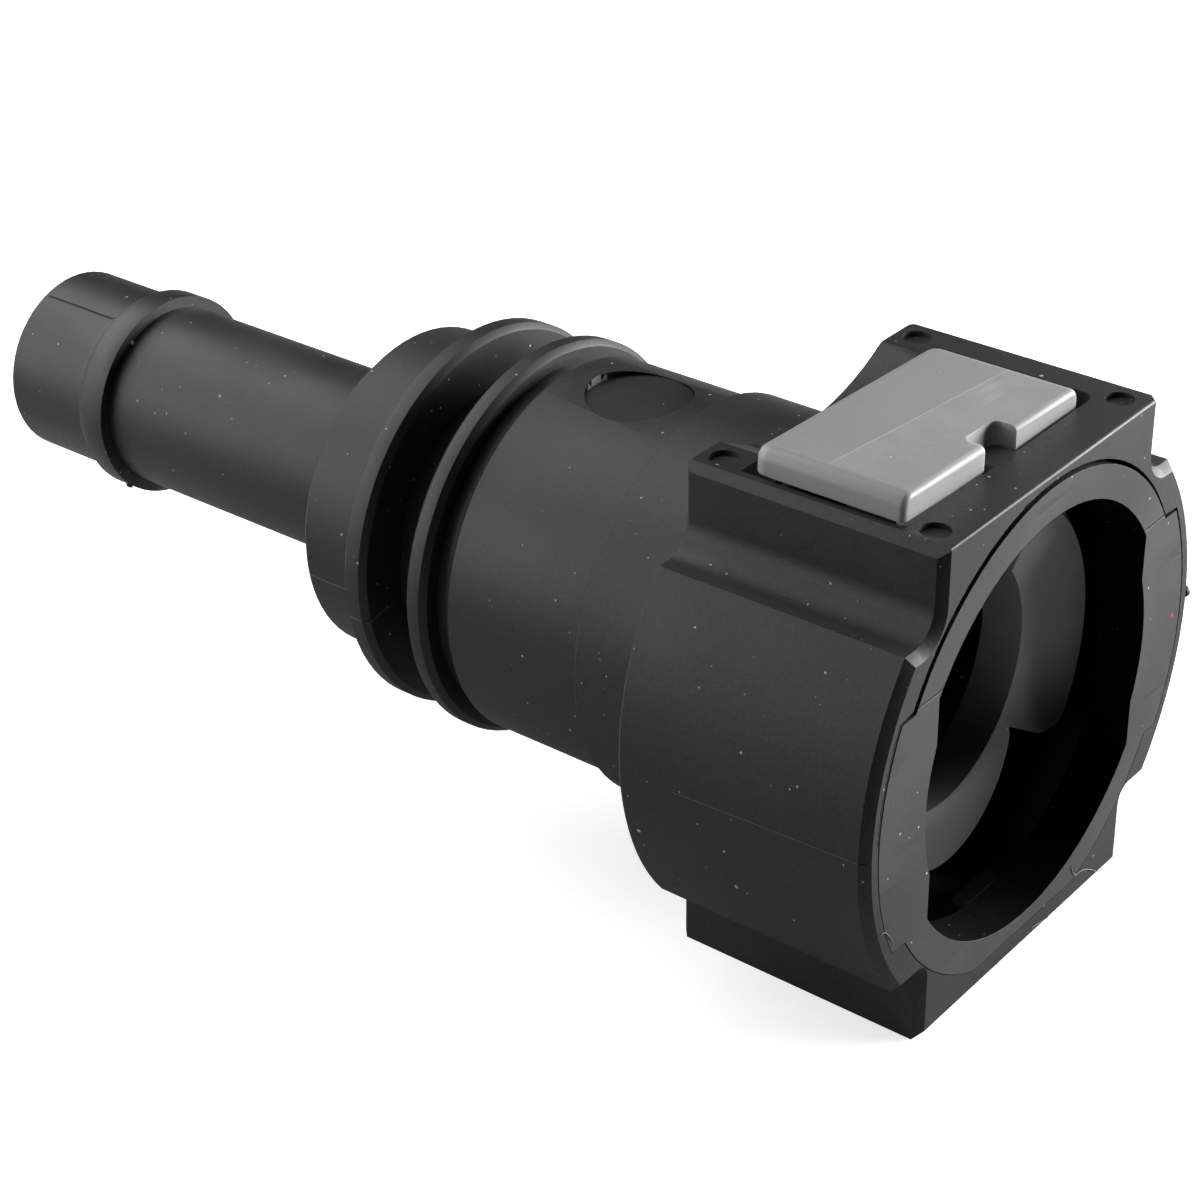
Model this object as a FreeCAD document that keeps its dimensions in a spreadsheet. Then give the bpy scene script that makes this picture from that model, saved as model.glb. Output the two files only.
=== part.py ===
"""Push-to-release connector for a 7.89 mm spigot and a 6 mm hose.

Frame: +X points out of the mouth along the tube axis, +Z points to the push
button, +Y completes the right hand.  The origin lies on the tube axis where the
guide bush starts to hold the spigot, at the bottom of the latch chamber.
All lengths are in millimetres.
"""
import FreeCAD, Part
import math
import os

import Sketcher

# Driving sizes: name and value.  Stations along the axis count from the origin.
SIZES = [
    # Mating tube and hose
    ("spigot_radius", 3.945),
    ("spigot_clearance", 0.055),
    ("bead_opening_radius", 6.28),
    ("flow_radius", 2.05),
    # Turned outside of the body, from the tail end to the head
    ("lead_length", 3.85),
    ("lead_step", 0.06),
    ("tail_bevel", 0.34),
    ("flare_length", 0.6),
    ("ridge_width", 0.95),
    ("ridge_height", 0.4),
    ("stem_length", 11.65),
    ("stem_wall", 1.27),
    ("collar_length", 2.85),
    ("collar_height", 2.38),
    ("collar_bevel", 0.32),
    ("flange_width", 0.95),
    ("flange_height", 1.02),
    ("groove_width", 1.85),
    ("groove_wall", 0.845),
    ("rib_width", 0.85),
    ("rib_height", 0.7),
    ("recess_width", 0.55),
    ("recess_depth", 0.35),
    ("barrel_length", 5.4),
    ("barrel_wall", 1.05),
    ("shoulder_length", 3.75),
    ("shoulder_height", 0.28),
    ("edge_bevel", 0.2),
    # Head of the body
    ("head_back", 1.85),
    ("roof_wall", 0.33),
    ("floor_wall", 0.87),
    ("side_wall", 0.795),
    ("front_bar", 1.59),
    ("head_front_bevel", 0.28),
    ("head_top_round", 0.1),
    ("head_back_bevel", 0.16),
    ("cheek_wall", 0.59),
    ("cheek_roof", 1.78),
    ("cheek_sole", 1.75),
    ("cheek_fillet", 0.95),
    ("cheek_foot_fillet", 0.3),
    ("floor_rise", 0.56),
    ("pocket_spread", 0.58),
    ("pocket_top", 3.92),
    ("pocket_bottom", 4.05),
    ("slot_shift", 0.305),
    ("slot_corner", 0.4),
    ("slot_relief", 0.22),
    ("tongue_half_width", 0.6),
    ("tongue_length", 0.82),
    ("tongue_corner", 0.25),
    ("saddle_depth", 1.27),
    ("saddle_radius", 8.0),
    ("dimple_radius", 0.46),
    ("dimple_depth", 0.35),
    ("dimple_from_side", 0.87),
    ("dimple_from_mouth", 0.9),
    ("dimple_from_back", 0.77),
    ("mark_from_shoulder", 2.5),
    ("mark_radius", 1.75),
    ("mark_depth", 0.36),
    # Bores behind the chamber
    ("seal_bore_radius", 5.45),
    ("pilot_length", 4.8),
    ("funnel_length", 2.0),
    ("tail_chamfer", 0.3),
    # Ring that closes the mouth
    ("mouth_radius", 7.0),
    ("mouth_half_width", 5.87),
    ("ring_thickness", 1.6),
    ("ring_wall", 1.07),
    ("ring_gap", 0.07),
    ("ring_drop", 0.06),
    ("ear_clearance", 0.05),
    ("floor_clearance", 0.015),
    ("tab_width", 2.3),
    ("tab_length", 0.55),
    ("tab_height", 0.58),
    # Latch
    ("bead_room", 2.4),
    ("latch_depth", 2.6),
    ("latch_gap", 0.4),
    ("arm_depth", 1.75),
    ("press_travel", 1.2),
    ("leg_room", 1.64),
    ("leg_end_outside", 4.0),
    ("leg_end_inside", 3.05),
    ("leg_end_side", 3.3),
    ("leg_round", 0.95),
    ("leg_bevel", 0.35),
    ("tooth_clearance", 0.255),
    ("lead_in_margin", 0.02),
    ("lead_in_length", 1.15),
    ("leg_top", 4.6),
    ("neck_half_width", 3.9),
    ("neck_wall", 0.6),
    ("neck_depth", 1.7),
    ("window_clearance", 0.86),
    ("arm_radius", 3.4),
    ("arm_floor_gap", 0.08),
    ("plate_back_gap", 0.1),
    ("plate_front_gap", 0.13),
    ("plate_side_gap", 0.42),
    ("plate_half_width", 4.735),
    ("plate_rise", 0.73),
    ("plate_thickness", 0.82),
    ("plate_corner", 0.5),
    ("plate_round", 0.4),
    ("plate_front_round", 0.2),
    ("plate_shift", 0.685),
    ("plate_roll", 2.0),
    ("notch_shift", 0.385),
    ("notch_half_width", 0.865),
    ("notch_depth", 0.78),
    ("notch_corner", 0.3),
    # Bush, sealing rings and spacer
    ("bush_length", 2.2),
    ("bush_lip", 0.3),
    ("fit_gap", 0.02),
    ("seal_section", 0.84),
    ("stack_gap", 0.06),
    ("stack_end_gap", 0.26),
    ("spacer_length", 1.0),
    ("spacer_bore_clearance", 0.2),
]


class Size:
    """A length that knows its value and the sheet expression behind it."""

    def __init__(self, value, text):
        self.value = float(value)
        self.text = text

    def __add__(self, other):
        other = as_size(other)
        return Size(self.value + other.value, "(%s + %s)" % (self.text, other.text))

    def __sub__(self, other):
        other = as_size(other)
        return Size(self.value - other.value, "(%s - %s)" % (self.text, other.text))

    def __mul__(self, other):
        other = as_size(other)
        return Size(self.value * other.value, "(%s * %s)" % (self.text, other.text))

    def __truediv__(self, other):
        other = as_size(other)
        return Size(self.value / other.value, "(%s / %s)" % (self.text, other.text))

    def __neg__(self):
        return Size(-self.value, "(0 - %s)" % self.text)


def as_size(number):
    return number if isinstance(number, Size) else Size(number, "%.6g" % number)


NIL = Size(0, "0")
OVERRUN = 1  # how far a cutting outline runs past the face that it cuts
ROOT = 0.5  # how far a padded outline starts inside the solid that it grows from
SLACK = 0.1  # margin used when edges are picked by their place


def make_sheet(doc):
    """Write the driving sizes and hand them back by name."""
    sheet = doc.addObject("Spreadsheet::Sheet", "Sizes")
    sizes = {}
    for row, (name, value) in enumerate(SIZES, start=1):
        sheet.set("A%d" % row, name)
        sheet.set("B%d" % row, "%g" % value)
        sheet.setAlias("B%d" % row, name)
        sizes[name] = Size(value, "Sizes.%s" % name)
    doc.recompute()
    return sizes


def add_derived_sizes(s):
    """Sizes that follow from the driving ones, from the mouth outwards."""
    s["latch_back"] = s["bead_room"]
    s["latch_front"] = s["latch_back"] + s["latch_depth"]
    s["ring_back"] = s["latch_front"] + s["latch_gap"]
    s["mouth_depth"] = s["ring_back"] + s["ring_thickness"]
    s["head_length"] = s["mouth_depth"] + s["head_back"]

    s["ring_radius"] = s["mouth_radius"] + s["ring_wall"]
    s["chamber_radius"] = s["ring_radius"] + s["ring_gap"]
    s["chamber_floor"] = s["chamber_radius"] - s["floor_rise"]
    s["pocket_radius"] = s["chamber_radius"] + s["pocket_spread"]
    s["cheek_radius"] = s["pocket_radius"] + s["cheek_wall"]
    s["cheek_top"] = s["pocket_top"] + s["cheek_roof"]
    s["cheek_bottom"] = s["pocket_bottom"] + s["cheek_sole"]
    s["head_top"] = s["chamber_radius"] + s["roof_wall"]
    s["head_bottom"] = s["chamber_floor"] + s["floor_wall"]

    s["slot_half_width"] = s["plate_half_width"] + s["plate_side_gap"]
    s["slot_front"] = s["mouth_depth"] - s["front_bar"]
    s["head_half_width"] = s["slot_half_width"] + s["side_wall"]
    s["plate_front"] = s["slot_front"] - s["plate_front_gap"]
    s["plate_top"] = s["head_top"] + s["plate_rise"]

    s["land_radius"] = s["spigot_radius"] + s["tooth_clearance"]
    s["lead_in_radius"] = s["bead_opening_radius"] + s["lead_in_margin"]
    s["leg_radius"] = s["chamber_radius"] - s["leg_room"]
    s["window_top"] = s["spigot_radius"] + s["press_travel"] + s["window_clearance"]
    s["arm_drop"] = s["chamber_floor"] - s["press_travel"] - s["arm_floor_gap"] - s["arm_radius"]
    s["bush_bore"] = s["spigot_radius"] + s["spigot_clearance"]
    s["pilot_radius"] = s["spigot_radius"] + s["spigot_clearance"] * 2
    s["insert_radius"] = s["seal_bore_radius"] - s["fit_gap"]
    s["front_seal"] = -s["bush_length"] - s["stack_gap"] - s["seal_section"]
    s["spacer_front"] = s["front_seal"] - s["seal_section"] - s["stack_gap"]
    s["spacer_back"] = s["spacer_front"] - s["spacer_length"]
    s["rear_seal"] = s["spacer_back"] - s["stack_gap"] - s["seal_section"]
    s["seal_bore_end"] = s["rear_seal"] - s["seal_section"] - s["stack_end_gap"]
    s["pilot_end"] = s["seal_bore_end"] - s["pilot_length"]

    s["barrel_radius"] = s["seal_bore_radius"] + s["barrel_wall"]
    s["shoulder_radius"] = s["barrel_radius"] + s["shoulder_height"]
    s["recess_radius"] = s["barrel_radius"] - s["recess_depth"]
    s["rib_radius"] = s["recess_radius"] + s["rib_height"]
    s["groove_radius"] = s["pilot_radius"] + s["groove_wall"]
    s["stem_radius"] = s["flow_radius"] + s["stem_wall"]
    s["ridge_radius"] = s["stem_radius"] + s["ridge_height"]
    s["lead_radius"] = s["stem_radius"] + s["lead_step"]
    s["collar_radius"] = s["stem_radius"] + s["collar_height"]
    s["flange_radius"] = s["collar_radius"] + s["flange_height"]

    s["shoulder_start"] = -s["head_back"] - s["shoulder_length"]
    s["barrel_start"] = s["shoulder_start"] - s["barrel_length"]
    s["rib_end"] = s["barrel_start"] - s["recess_width"]
    s["rib_start"] = s["rib_end"] - s["rib_width"]
    s["flange_end"] = s["rib_start"] - s["groove_width"]
    s["flange_start"] = s["flange_end"] - s["flange_width"]
    s["collar_start"] = s["flange_start"] - s["collar_length"]
    s["ridge_end"] = s["collar_start"] - s["stem_length"]
    s["ridge_start"] = s["ridge_end"] - s["ridge_width"]
    s["flare_start"] = s["ridge_start"] - s["flare_length"]
    s["tail_end"] = s["flare_start"] - s["lead_length"]


def new_body(doc, name):
    body = doc.addObject("PartDesign::Body", name)
    body.Label = name
    return body


def new_sketch(body, name, plane, lift=NIL):
    """Sketch on one of the body's own planes, lifted along the plane's normal."""
    sketch = body.newObject("Sketcher::SketchObject", name)
    support = [item for item in body.Origin.OriginFeatures if item.Role == plane][0]
    sketch.AttachmentSupport = [(support, "")]
    sketch.MapMode = "FlatFace"
    sketch.AttachmentOffset = FreeCAD.Placement(FreeCAD.Vector(0, 0, lift.value), FreeCAD.Rotation())
    if lift is not NIL:
        sketch.setExpression("AttachmentOffset.Base.z", lift.text)
    return sketch


def drive(sketch, constraint, size):
    index = sketch.addConstraint(constraint)
    sketch.setExpression("Constraints[%d]" % index, size.text)


def pin(sketch, geo, pos, across, up):
    """Hold one point of the sketch at its two coordinates."""
    if across is NIL:
        sketch.addConstraint(Sketcher.Constraint("PointOnObject", geo, pos, -2))
    else:
        drive(sketch, Sketcher.Constraint("DistanceX", -1, 1, geo, pos, across.value), across)
    if up is NIL:
        sketch.addConstraint(Sketcher.Constraint("PointOnObject", geo, pos, -1))
    else:
        drive(sketch, Sketcher.Constraint("DistanceY", -1, 1, geo, pos, up.value), up)


def add_polygon(sketch, corners):
    """Closed outline of straight lines through the given corners."""
    points = [FreeCAD.Vector(across.value, up.value, 0) for across, up in corners]
    first = sketch.GeometryCount
    count = len(points)
    for i in range(count):
        sketch.addGeometry(Part.LineSegment(points[i], points[(i + 1) % count]), False)
    for i in range(count):
        sketch.addConstraint(Sketcher.Constraint("Coincident", first + i, 2, first + (i + 1) % count, 1))
    for i, (across, up) in enumerate(corners):
        pin(sketch, first + i, 1, across, up)


def add_rectangle(sketch, left, right, low, high):
    add_polygon(sketch, [(left, low), (right, low), (right, high), (left, high)])


def add_circle(sketch, across, up, radius):
    centre = FreeCAD.Vector(across.value, up.value, 0)
    geo = sketch.addGeometry(Part.Circle(centre, FreeCAD.Vector(0, 0, 1), radius.value), False)
    pin(sketch, geo, 3, across, up)
    drive(sketch, Sketcher.Constraint("Radius", geo, radius.value), radius)


def round_arc(sketch, centre_up, radius, start, end):
    """Arc about a point on the sketch's upright axis; returns its number."""
    centre = FreeCAD.Vector(0, centre_up.value, 0)
    circle = Part.Circle(centre, FreeCAD.Vector(0, 0, 1), radius.value)
    geo = sketch.addGeometry(Part.ArcOfCircle(circle, start, end), False)
    pin(sketch, geo, 3, NIL, centre_up)
    drive(sketch, Sketcher.Constraint("Radius", geo, radius.value), radius)
    return geo


def closing_line(sketch, from_geo, to_geo, kind):
    """Straight line from the end of one arc to the start of the next."""
    start = sketch.getPoint(from_geo, 2)
    end = sketch.getPoint(to_geo, 1)
    line = sketch.addGeometry(Part.LineSegment(start, end), False)
    sketch.addConstraint(Sketcher.Constraint("Coincident", from_geo, 2, line, 1))
    sketch.addConstraint(Sketcher.Constraint("Coincident", line, 2, to_geo, 1))
    sketch.addConstraint(Sketcher.Constraint(kind, line))
    return line


def add_belt(sketch, radius, low, high):
    """Round section cut off by a lower and an upper level line."""
    low_angle = math.asin(low.value / radius.value)
    high_angle = math.asin(high.value / radius.value)
    right = round_arc(sketch, NIL, radius, low_angle, high_angle)
    left = round_arc(sketch, NIL, radius, math.pi - high_angle, math.pi - low_angle)
    closing_line(sketch, right, left, "Horizontal")
    closing_line(sketch, left, right, "Horizontal")
    drive(sketch, Sketcher.Constraint("DistanceY", -1, 1, right, 2, high.value), high)
    drive(sketch, Sketcher.Constraint("DistanceY", -1, 1, right, 1, low.value), low)


def add_legs(sketch, radius, top, end_outside, end_inside, end_side):
    """Round section that ends in a slope on each side of its lower middle."""
    low_angle = -math.asin(end_outside.value / radius.value)
    high_angle = math.asin(top.value / radius.value)
    right = round_arc(sketch, NIL, radius, low_angle, high_angle)
    left = round_arc(sketch, NIL, radius, math.pi - high_angle, math.pi - low_angle)
    closing_line(sketch, right, left, "Horizontal")
    drive(sketch, Sketcher.Constraint("DistanceY", -1, 1, right, 2, top.value), top)
    drive(sketch, Sketcher.Constraint("DistanceY", -1, 1, right, 1, -end_outside.value), -end_outside)
    drive(sketch, Sketcher.Constraint("DistanceY", -1, 1, left, 2, -end_outside.value), -end_outside)
    corners = [
        sketch.getPoint(left, 2),
        FreeCAD.Vector(-end_side.value, -end_inside.value, 0),
        FreeCAD.Vector(end_side.value, -end_inside.value, 0),
        sketch.getPoint(right, 1),
    ]
    first = sketch.GeometryCount
    for i in range(3):
        sketch.addGeometry(Part.LineSegment(corners[i], corners[i + 1]), False)
    sketch.addConstraint(Sketcher.Constraint("Coincident", left, 2, first, 1))
    sketch.addConstraint(Sketcher.Constraint("Coincident", first, 2, first + 1, 1))
    sketch.addConstraint(Sketcher.Constraint("Coincident", first + 1, 2, first + 2, 1))
    sketch.addConstraint(Sketcher.Constraint("Coincident", first + 2, 2, right, 1))
    pin(sketch, first, 2, -end_side, -end_inside)
    pin(sketch, first + 1, 2, end_side, -end_inside)


def add_floored_circle(sketch, radius, floor, centre_up=NIL):
    """Circle cut off by one level line below its centre."""
    angle = math.asin((floor.value - centre_up.value) / radius.value)
    arc = round_arc(sketch, centre_up, radius, angle, math.pi - angle)
    closing_line(sketch, arc, arc, "Horizontal")
    drive(sketch, Sketcher.Constraint("DistanceY", -1, 1, arc, 1, floor.value), floor)


def add_barrel(sketch, radius, half_width):
    """Circle cut off by an upright line on each side."""
    angle = math.acos(half_width.value / radius.value)
    top = round_arc(sketch, NIL, radius, angle, math.pi - angle)
    bottom = round_arc(sketch, NIL, radius, math.pi + angle, 2 * math.pi - angle)
    closing_line(sketch, top, bottom, "Vertical")
    closing_line(sketch, bottom, top, "Vertical")
    drive(sketch, Sketcher.Constraint("DistanceX", -1, 1, top, 1, half_width.value), half_width)
    drive(sketch, Sketcher.Constraint("DistanceX", -1, 1, top, 2, -half_width.value), -half_width)


def volume_of(body):
    return 0.0 if body.Shape.isNull() else body.Shape.Volume


def settle(body, feature, volume_before, grows):
    """Recompute and make sure that the feature really added or removed material."""
    body.Document.recompute()
    change = volume_of(body) - volume_before
    if grows and change <= 0 or not grows and change >= 0:
        raise ValueError("%s in %s changed the volume by %.3f" % (feature.Name, body.Label, change))
    return feature


def add_pad(body, sketch, length):
    before = volume_of(body)
    pad = body.newObject("PartDesign::Pad", sketch.Name + "_pad")
    pad.Profile = sketch
    pad.Length = length.value
    pad.setExpression("Length", length.text)
    return settle(body, pad, before, True)


def add_pocket(body, sketch, length, reverse=False):
    before = volume_of(body)
    pocket = body.newObject("PartDesign::Pocket", sketch.Name + "_pocket")
    pocket.Profile = sketch
    pocket.Reversed = reverse
    pocket.Length = length.value
    pocket.setExpression("Length", length.text)
    return settle(body, pocket, before, False)


def add_turn(body, sketch, cut=False):
    """Turn a sketch about its level axis, as material or as a cut."""
    before = volume_of(body)
    kind = "PartDesign::Groove" if cut else "PartDesign::Revolution"
    turn = body.newObject(kind, sketch.Name + "_turn")
    turn.Profile = sketch
    turn.ReferenceAxis = (sketch, ["H_Axis"])
    turn.Angle = 360.0
    return settle(body, turn, before, not cut)


def find_edges(body, name, test):
    """Names of the edges that, with their middle point, pass the test."""
    names = []
    for number, edge in enumerate(body.Shape.Edges, start=1):
        middle = edge.valueAt((edge.FirstParameter + edge.LastParameter) / 2)
        if test(edge, middle):
            names.append("Edge%d" % number)
    if not names:
        raise ValueError("no edge found for %s in %s" % (name, body.Label))
    return names


def add_round(body, name, test, radius):
    base = body.Tip
    names = find_edges(body, name, test)
    fillet = body.newObject("PartDesign::Fillet", name)
    fillet.Base = (base, names)
    fillet.Radius = radius.value
    fillet.setExpression("Radius", radius.text)
    body.Document.recompute()


def add_bevel(body, name, test, size):
    base = body.Tip
    names = find_edges(body, name, test)
    chamfer = body.newObject("PartDesign::Chamfer", name)
    chamfer.Base = (base, names)
    chamfer.Size = size.value
    chamfer.setExpression("Size", size.text)
    body.Document.recompute()


def near(value, target, room=0.02):
    return abs(value - target) < room


def is_hoop(edge, station, radius):
    """True for a full or partial circle about the tube axis."""
    if not isinstance(edge.Curve, Part.Circle):
        return False
    centre = edge.Curve.Center
    about_axis = abs(centre.y) + abs(centre.z) < 0.01 and abs(edge.Curve.Axis.x) > 0.999
    return about_axis and near(centre.x, station.value) and near(edge.Curve.Radius, radius.value)


def runs_along_x(edge):
    if not isinstance(edge.Curve, Part.Line):
        return False
    return abs(edge.Curve.Direction.x) > 0.999


def runs_along_z(edge):
    if not isinstance(edge.Curve, Part.Line):
        return False
    return abs(edge.Curve.Direction.z) > 0.9


def make_body(doc, s):
    """Moulding with the hose tail, collars, seal barrel and latch head."""
    body = new_body(doc, "body")

    # Turned outline from the tail end to the back of the head
    outline = new_sketch(body, "tail_outline", "XZ_Plane")
    add_polygon(outline, [
        (s["tail_end"], NIL),
        (s["tail_end"], s["lead_radius"]),
        (s["flare_start"], s["lead_radius"]),
        (s["ridge_start"], s["ridge_radius"]),
        (s["ridge_end"], s["ridge_radius"]),
        (s["ridge_end"], s["stem_radius"]),
        (s["collar_start"], s["stem_radius"]),
        (s["collar_start"], s["collar_radius"]),
        (s["flange_start"], s["collar_radius"]),
        (s["flange_start"], s["flange_radius"]),
        (s["flange_end"], s["flange_radius"]),
        (s["flange_end"], s["groove_radius"]),
        (s["rib_start"], s["groove_radius"]),
        (s["rib_start"], s["rib_radius"]),
        (s["rib_end"], s["rib_radius"]),
        (s["rib_end"], s["recess_radius"]),
        (s["barrel_start"], s["recess_radius"]),
        (s["barrel_start"], s["barrel_radius"]),
        (s["shoulder_start"], s["barrel_radius"]),
        (s["shoulder_start"], s["shoulder_radius"]),
        (NIL, s["shoulder_radius"]),
        (NIL, NIL),
    ])
    add_turn(body, outline)

    add_bevel(body, "tail_end_bevel",
              lambda edge, mid: is_hoop(edge, s["tail_end"], s["lead_radius"]), s["tail_bevel"])
    add_bevel(body, "collar_bevel",
              lambda edge, mid: is_hoop(edge, s["collar_start"], s["collar_radius"]), s["collar_bevel"])
    rims = [
        (s["flange_start"], s["flange_radius"]),
        (s["flange_end"], s["flange_radius"]),
        (s["rib_start"], s["rib_radius"]),
        (s["rib_end"], s["rib_radius"]),
        (s["barrel_start"], s["barrel_radius"]),
        (s["shoulder_start"], s["shoulder_radius"]),
    ]
    add_bevel(body, "rim_bevels",
              lambda edge, mid: any(is_hoop(edge, station, radius) for station, radius in rims),
              s["edge_bevel"])

    # Head: a round cheek on each side of an upright block
    cheeks = new_sketch(body, "cheeks", "YZ_Plane", -s["head_back"])
    add_belt(cheeks, s["cheek_radius"], -s["cheek_bottom"], s["cheek_top"])
    add_pad(body, cheeks, s["head_length"])
    block = new_sketch(body, "head_block", "YZ_Plane", -s["head_back"])
    add_rectangle(block, -s["head_half_width"], s["head_half_width"], -s["head_bottom"], s["head_top"])
    add_pad(body, block, s["head_length"])

    half = s["head_half_width"].value
    add_round(body, "cheek_root",
              lambda edge, mid: runs_along_x(edge) and near(abs(mid.y), half)
              and near(mid.z, s["cheek_top"].value), s["cheek_fillet"])
    add_round(body, "cheek_foot",
              lambda edge, mid: runs_along_x(edge) and near(abs(mid.y), half)
              and near(mid.z, -s["cheek_bottom"].value), s["cheek_foot_fillet"])
    below_top = s["head_top"].value - SLACK
    add_bevel(body, "head_front_edges",
              lambda edge, mid: near(mid.x, s["mouth_depth"].value) and mid.z < below_top,
              s["head_front_bevel"])
    add_bevel(body, "head_back_edges",
              lambda edge, mid: near(mid.x, -s["head_back"].value) and mid.z < below_top
              and math.hypot(mid.y, mid.z) > s["shoulder_radius"].value + 3 * SLACK, s["head_back_bevel"])
    add_round(body, "head_top_edges",
              lambda edge, mid: near(mid.z, s["head_top"].value), s["head_top_round"])

    # Latch chamber with a side pocket for each leg to spread into
    chamber = new_sketch(body, "chamber", "YZ_Plane", s["mouth_depth"])
    add_floored_circle(chamber, s["chamber_radius"], -s["chamber_floor"])
    add_pocket(body, chamber, s["mouth_depth"])
    pockets = new_sketch(body, "leg_pockets", "YZ_Plane", s["mouth_depth"])
    add_belt(pockets, s["pocket_radius"], -s["pocket_bottom"], s["pocket_top"])
    add_pocket(body, pockets, s["mouth_depth"])

    # Slot for the button, with its back open over the shoulder
    slot_left = -s["slot_half_width"] - s["slot_shift"]
    slot_right = s["slot_half_width"] - s["slot_shift"]
    tongue_back = s["slot_front"] - s["tongue_length"]
    tongue_left = -s["tongue_half_width"] - s["slot_shift"]
    tongue_right = s["tongue_half_width"] - s["slot_shift"]
    slot = new_sketch(body, "button_slot", "XY_Plane", s["head_top"])
    add_polygon(slot, [
        (NIL, slot_left),
        (s["slot_front"], slot_left),
        (s["slot_front"], tongue_left),
        (tongue_back, tongue_left),
        (tongue_back, tongue_right),
        (s["slot_front"], tongue_right),
        (s["slot_front"], slot_right),
        (NIL, slot_right),
    ])
    add_pocket(body, slot, s["head_top"])
    relief = new_sketch(body, "slot_back_relief", "XY_Plane", s["head_top"])
    add_rectangle(relief, -s["slot_relief"], s["slot_relief"], slot_left, slot_right)
    add_pocket(body, relief, s["head_top"] - s["shoulder_radius"])
    add_round(body, "slot_corners",
              lambda edge, mid: runs_along_z(edge) and near(mid.x, s["slot_front"].value)
              and (near(mid.y, slot_left.value) or near(mid.y, slot_right.value)), s["slot_corner"])
    add_round(body, "tongue_corners",
              lambda edge, mid: runs_along_z(edge) and near(mid.x, tongue_back.value), s["tongue_corner"])
    saddle = new_sketch(body, "back_saddle", "YZ_Plane", -s["head_back"])
    saddle_centre = s["head_top"] - s["saddle_depth"] + s["saddle_radius"]
    add_circle(saddle, NIL, saddle_centre, s["saddle_radius"])
    add_pocket(body, saddle, s["head_back"] + s["plate_back_gap"], reverse=True)

    # Four ejector dimples around the button and a round mark on the barrel
    dimples = new_sketch(body, "dimples", "XY_Plane", s["head_top"])
    dimple_side = s["head_half_width"] - s["dimple_from_side"]
    dimple_front = s["mouth_depth"] - s["dimple_from_mouth"]
    dimple_back = s["dimple_from_back"] - s["head_back"]
    for station in (dimple_front, dimple_back):
        for across in (dimple_side, -dimple_side):
            add_circle(dimples, station, across, s["dimple_radius"])
    add_pocket(body, dimples, s["dimple_depth"])
    mark = new_sketch(body, "barrel_mark", "XY_Plane", s["barrel_radius"])
    add_circle(mark, s["shoulder_start"] - s["mark_from_shoulder"], NIL, s["mark_radius"])
    add_pocket(body, mark, s["mark_depth"])

    # Stepped bore: seal bore, spigot pilot, funnel and flow passage
    bore = new_sketch(body, "bore", "XZ_Plane")
    add_polygon(bore, [
        (NIL, NIL),
        (NIL, s["seal_bore_radius"]),
        (s["seal_bore_end"], s["seal_bore_radius"]),
        (s["seal_bore_end"], s["pilot_radius"]),
        (s["pilot_end"], s["pilot_radius"]),
        (s["pilot_end"] - s["funnel_length"], s["flow_radius"]),
        (s["tail_end"] + s["tail_chamfer"], s["flow_radius"]),
        (s["tail_end"], s["flow_radius"] + s["tail_chamfer"]),
        (s["tail_end"], NIL),
    ])
    add_turn(body, bore, cut=True)
    return body


def make_mouth_ring(doc, s):
    """Ring set into the front of the head, with a side ear over each leg pocket."""
    body = new_body(doc, "mouth_ring")
    foot = -s["chamber_floor"] + s["floor_clearance"] + s["ring_drop"]
    rim = new_sketch(body, "rim", "YZ_Plane", s["ring_back"])
    add_floored_circle(rim, s["ring_radius"], foot)
    add_pad(body, rim, s["ring_thickness"])
    ears = new_sketch(body, "ears", "YZ_Plane", s["ring_back"])
    add_belt(ears, s["pocket_radius"] - s["ear_clearance"],
             -s["pocket_bottom"] + s["floor_clearance"] + s["ring_drop"], s["pocket_top"] - s["ear_clearance"])
    add_pad(body, ears, s["ring_thickness"])
    tab_back = s["ring_back"] - s["tab_length"]
    tab = new_sketch(body, "tab", "YZ_Plane", tab_back)
    add_rectangle(tab, s["tab_width"] / -2, s["tab_width"] / 2, foot, foot + s["tab_height"])
    add_pad(body, tab, s["tab_length"] + s["ring_thickness"] / 2)
    mouth = new_sketch(body, "mouth", "YZ_Plane", s["mouth_depth"])
    add_barrel(mouth, s["mouth_radius"], s["mouth_half_width"])
    add_pocket(body, mouth, s["ring_thickness"])
    relief = new_sketch(body, "bead_relief", "YZ_Plane", s["mouth_depth"])
    add_circle(relief, NIL, NIL, s["bead_opening_radius"])
    add_pocket(body, relief, s["ring_thickness"])
    add_round(body, "tab_corners",
              lambda edge, mid: runs_along_z(edge) and near(mid.x, tab_back.value), s["tab_length"] * 0.8)
    body.Placement.Base.z = -s["ring_drop"].value
    body.setExpression("Placement.Base.z", (-s["ring_drop"]).text)
    return body


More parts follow.
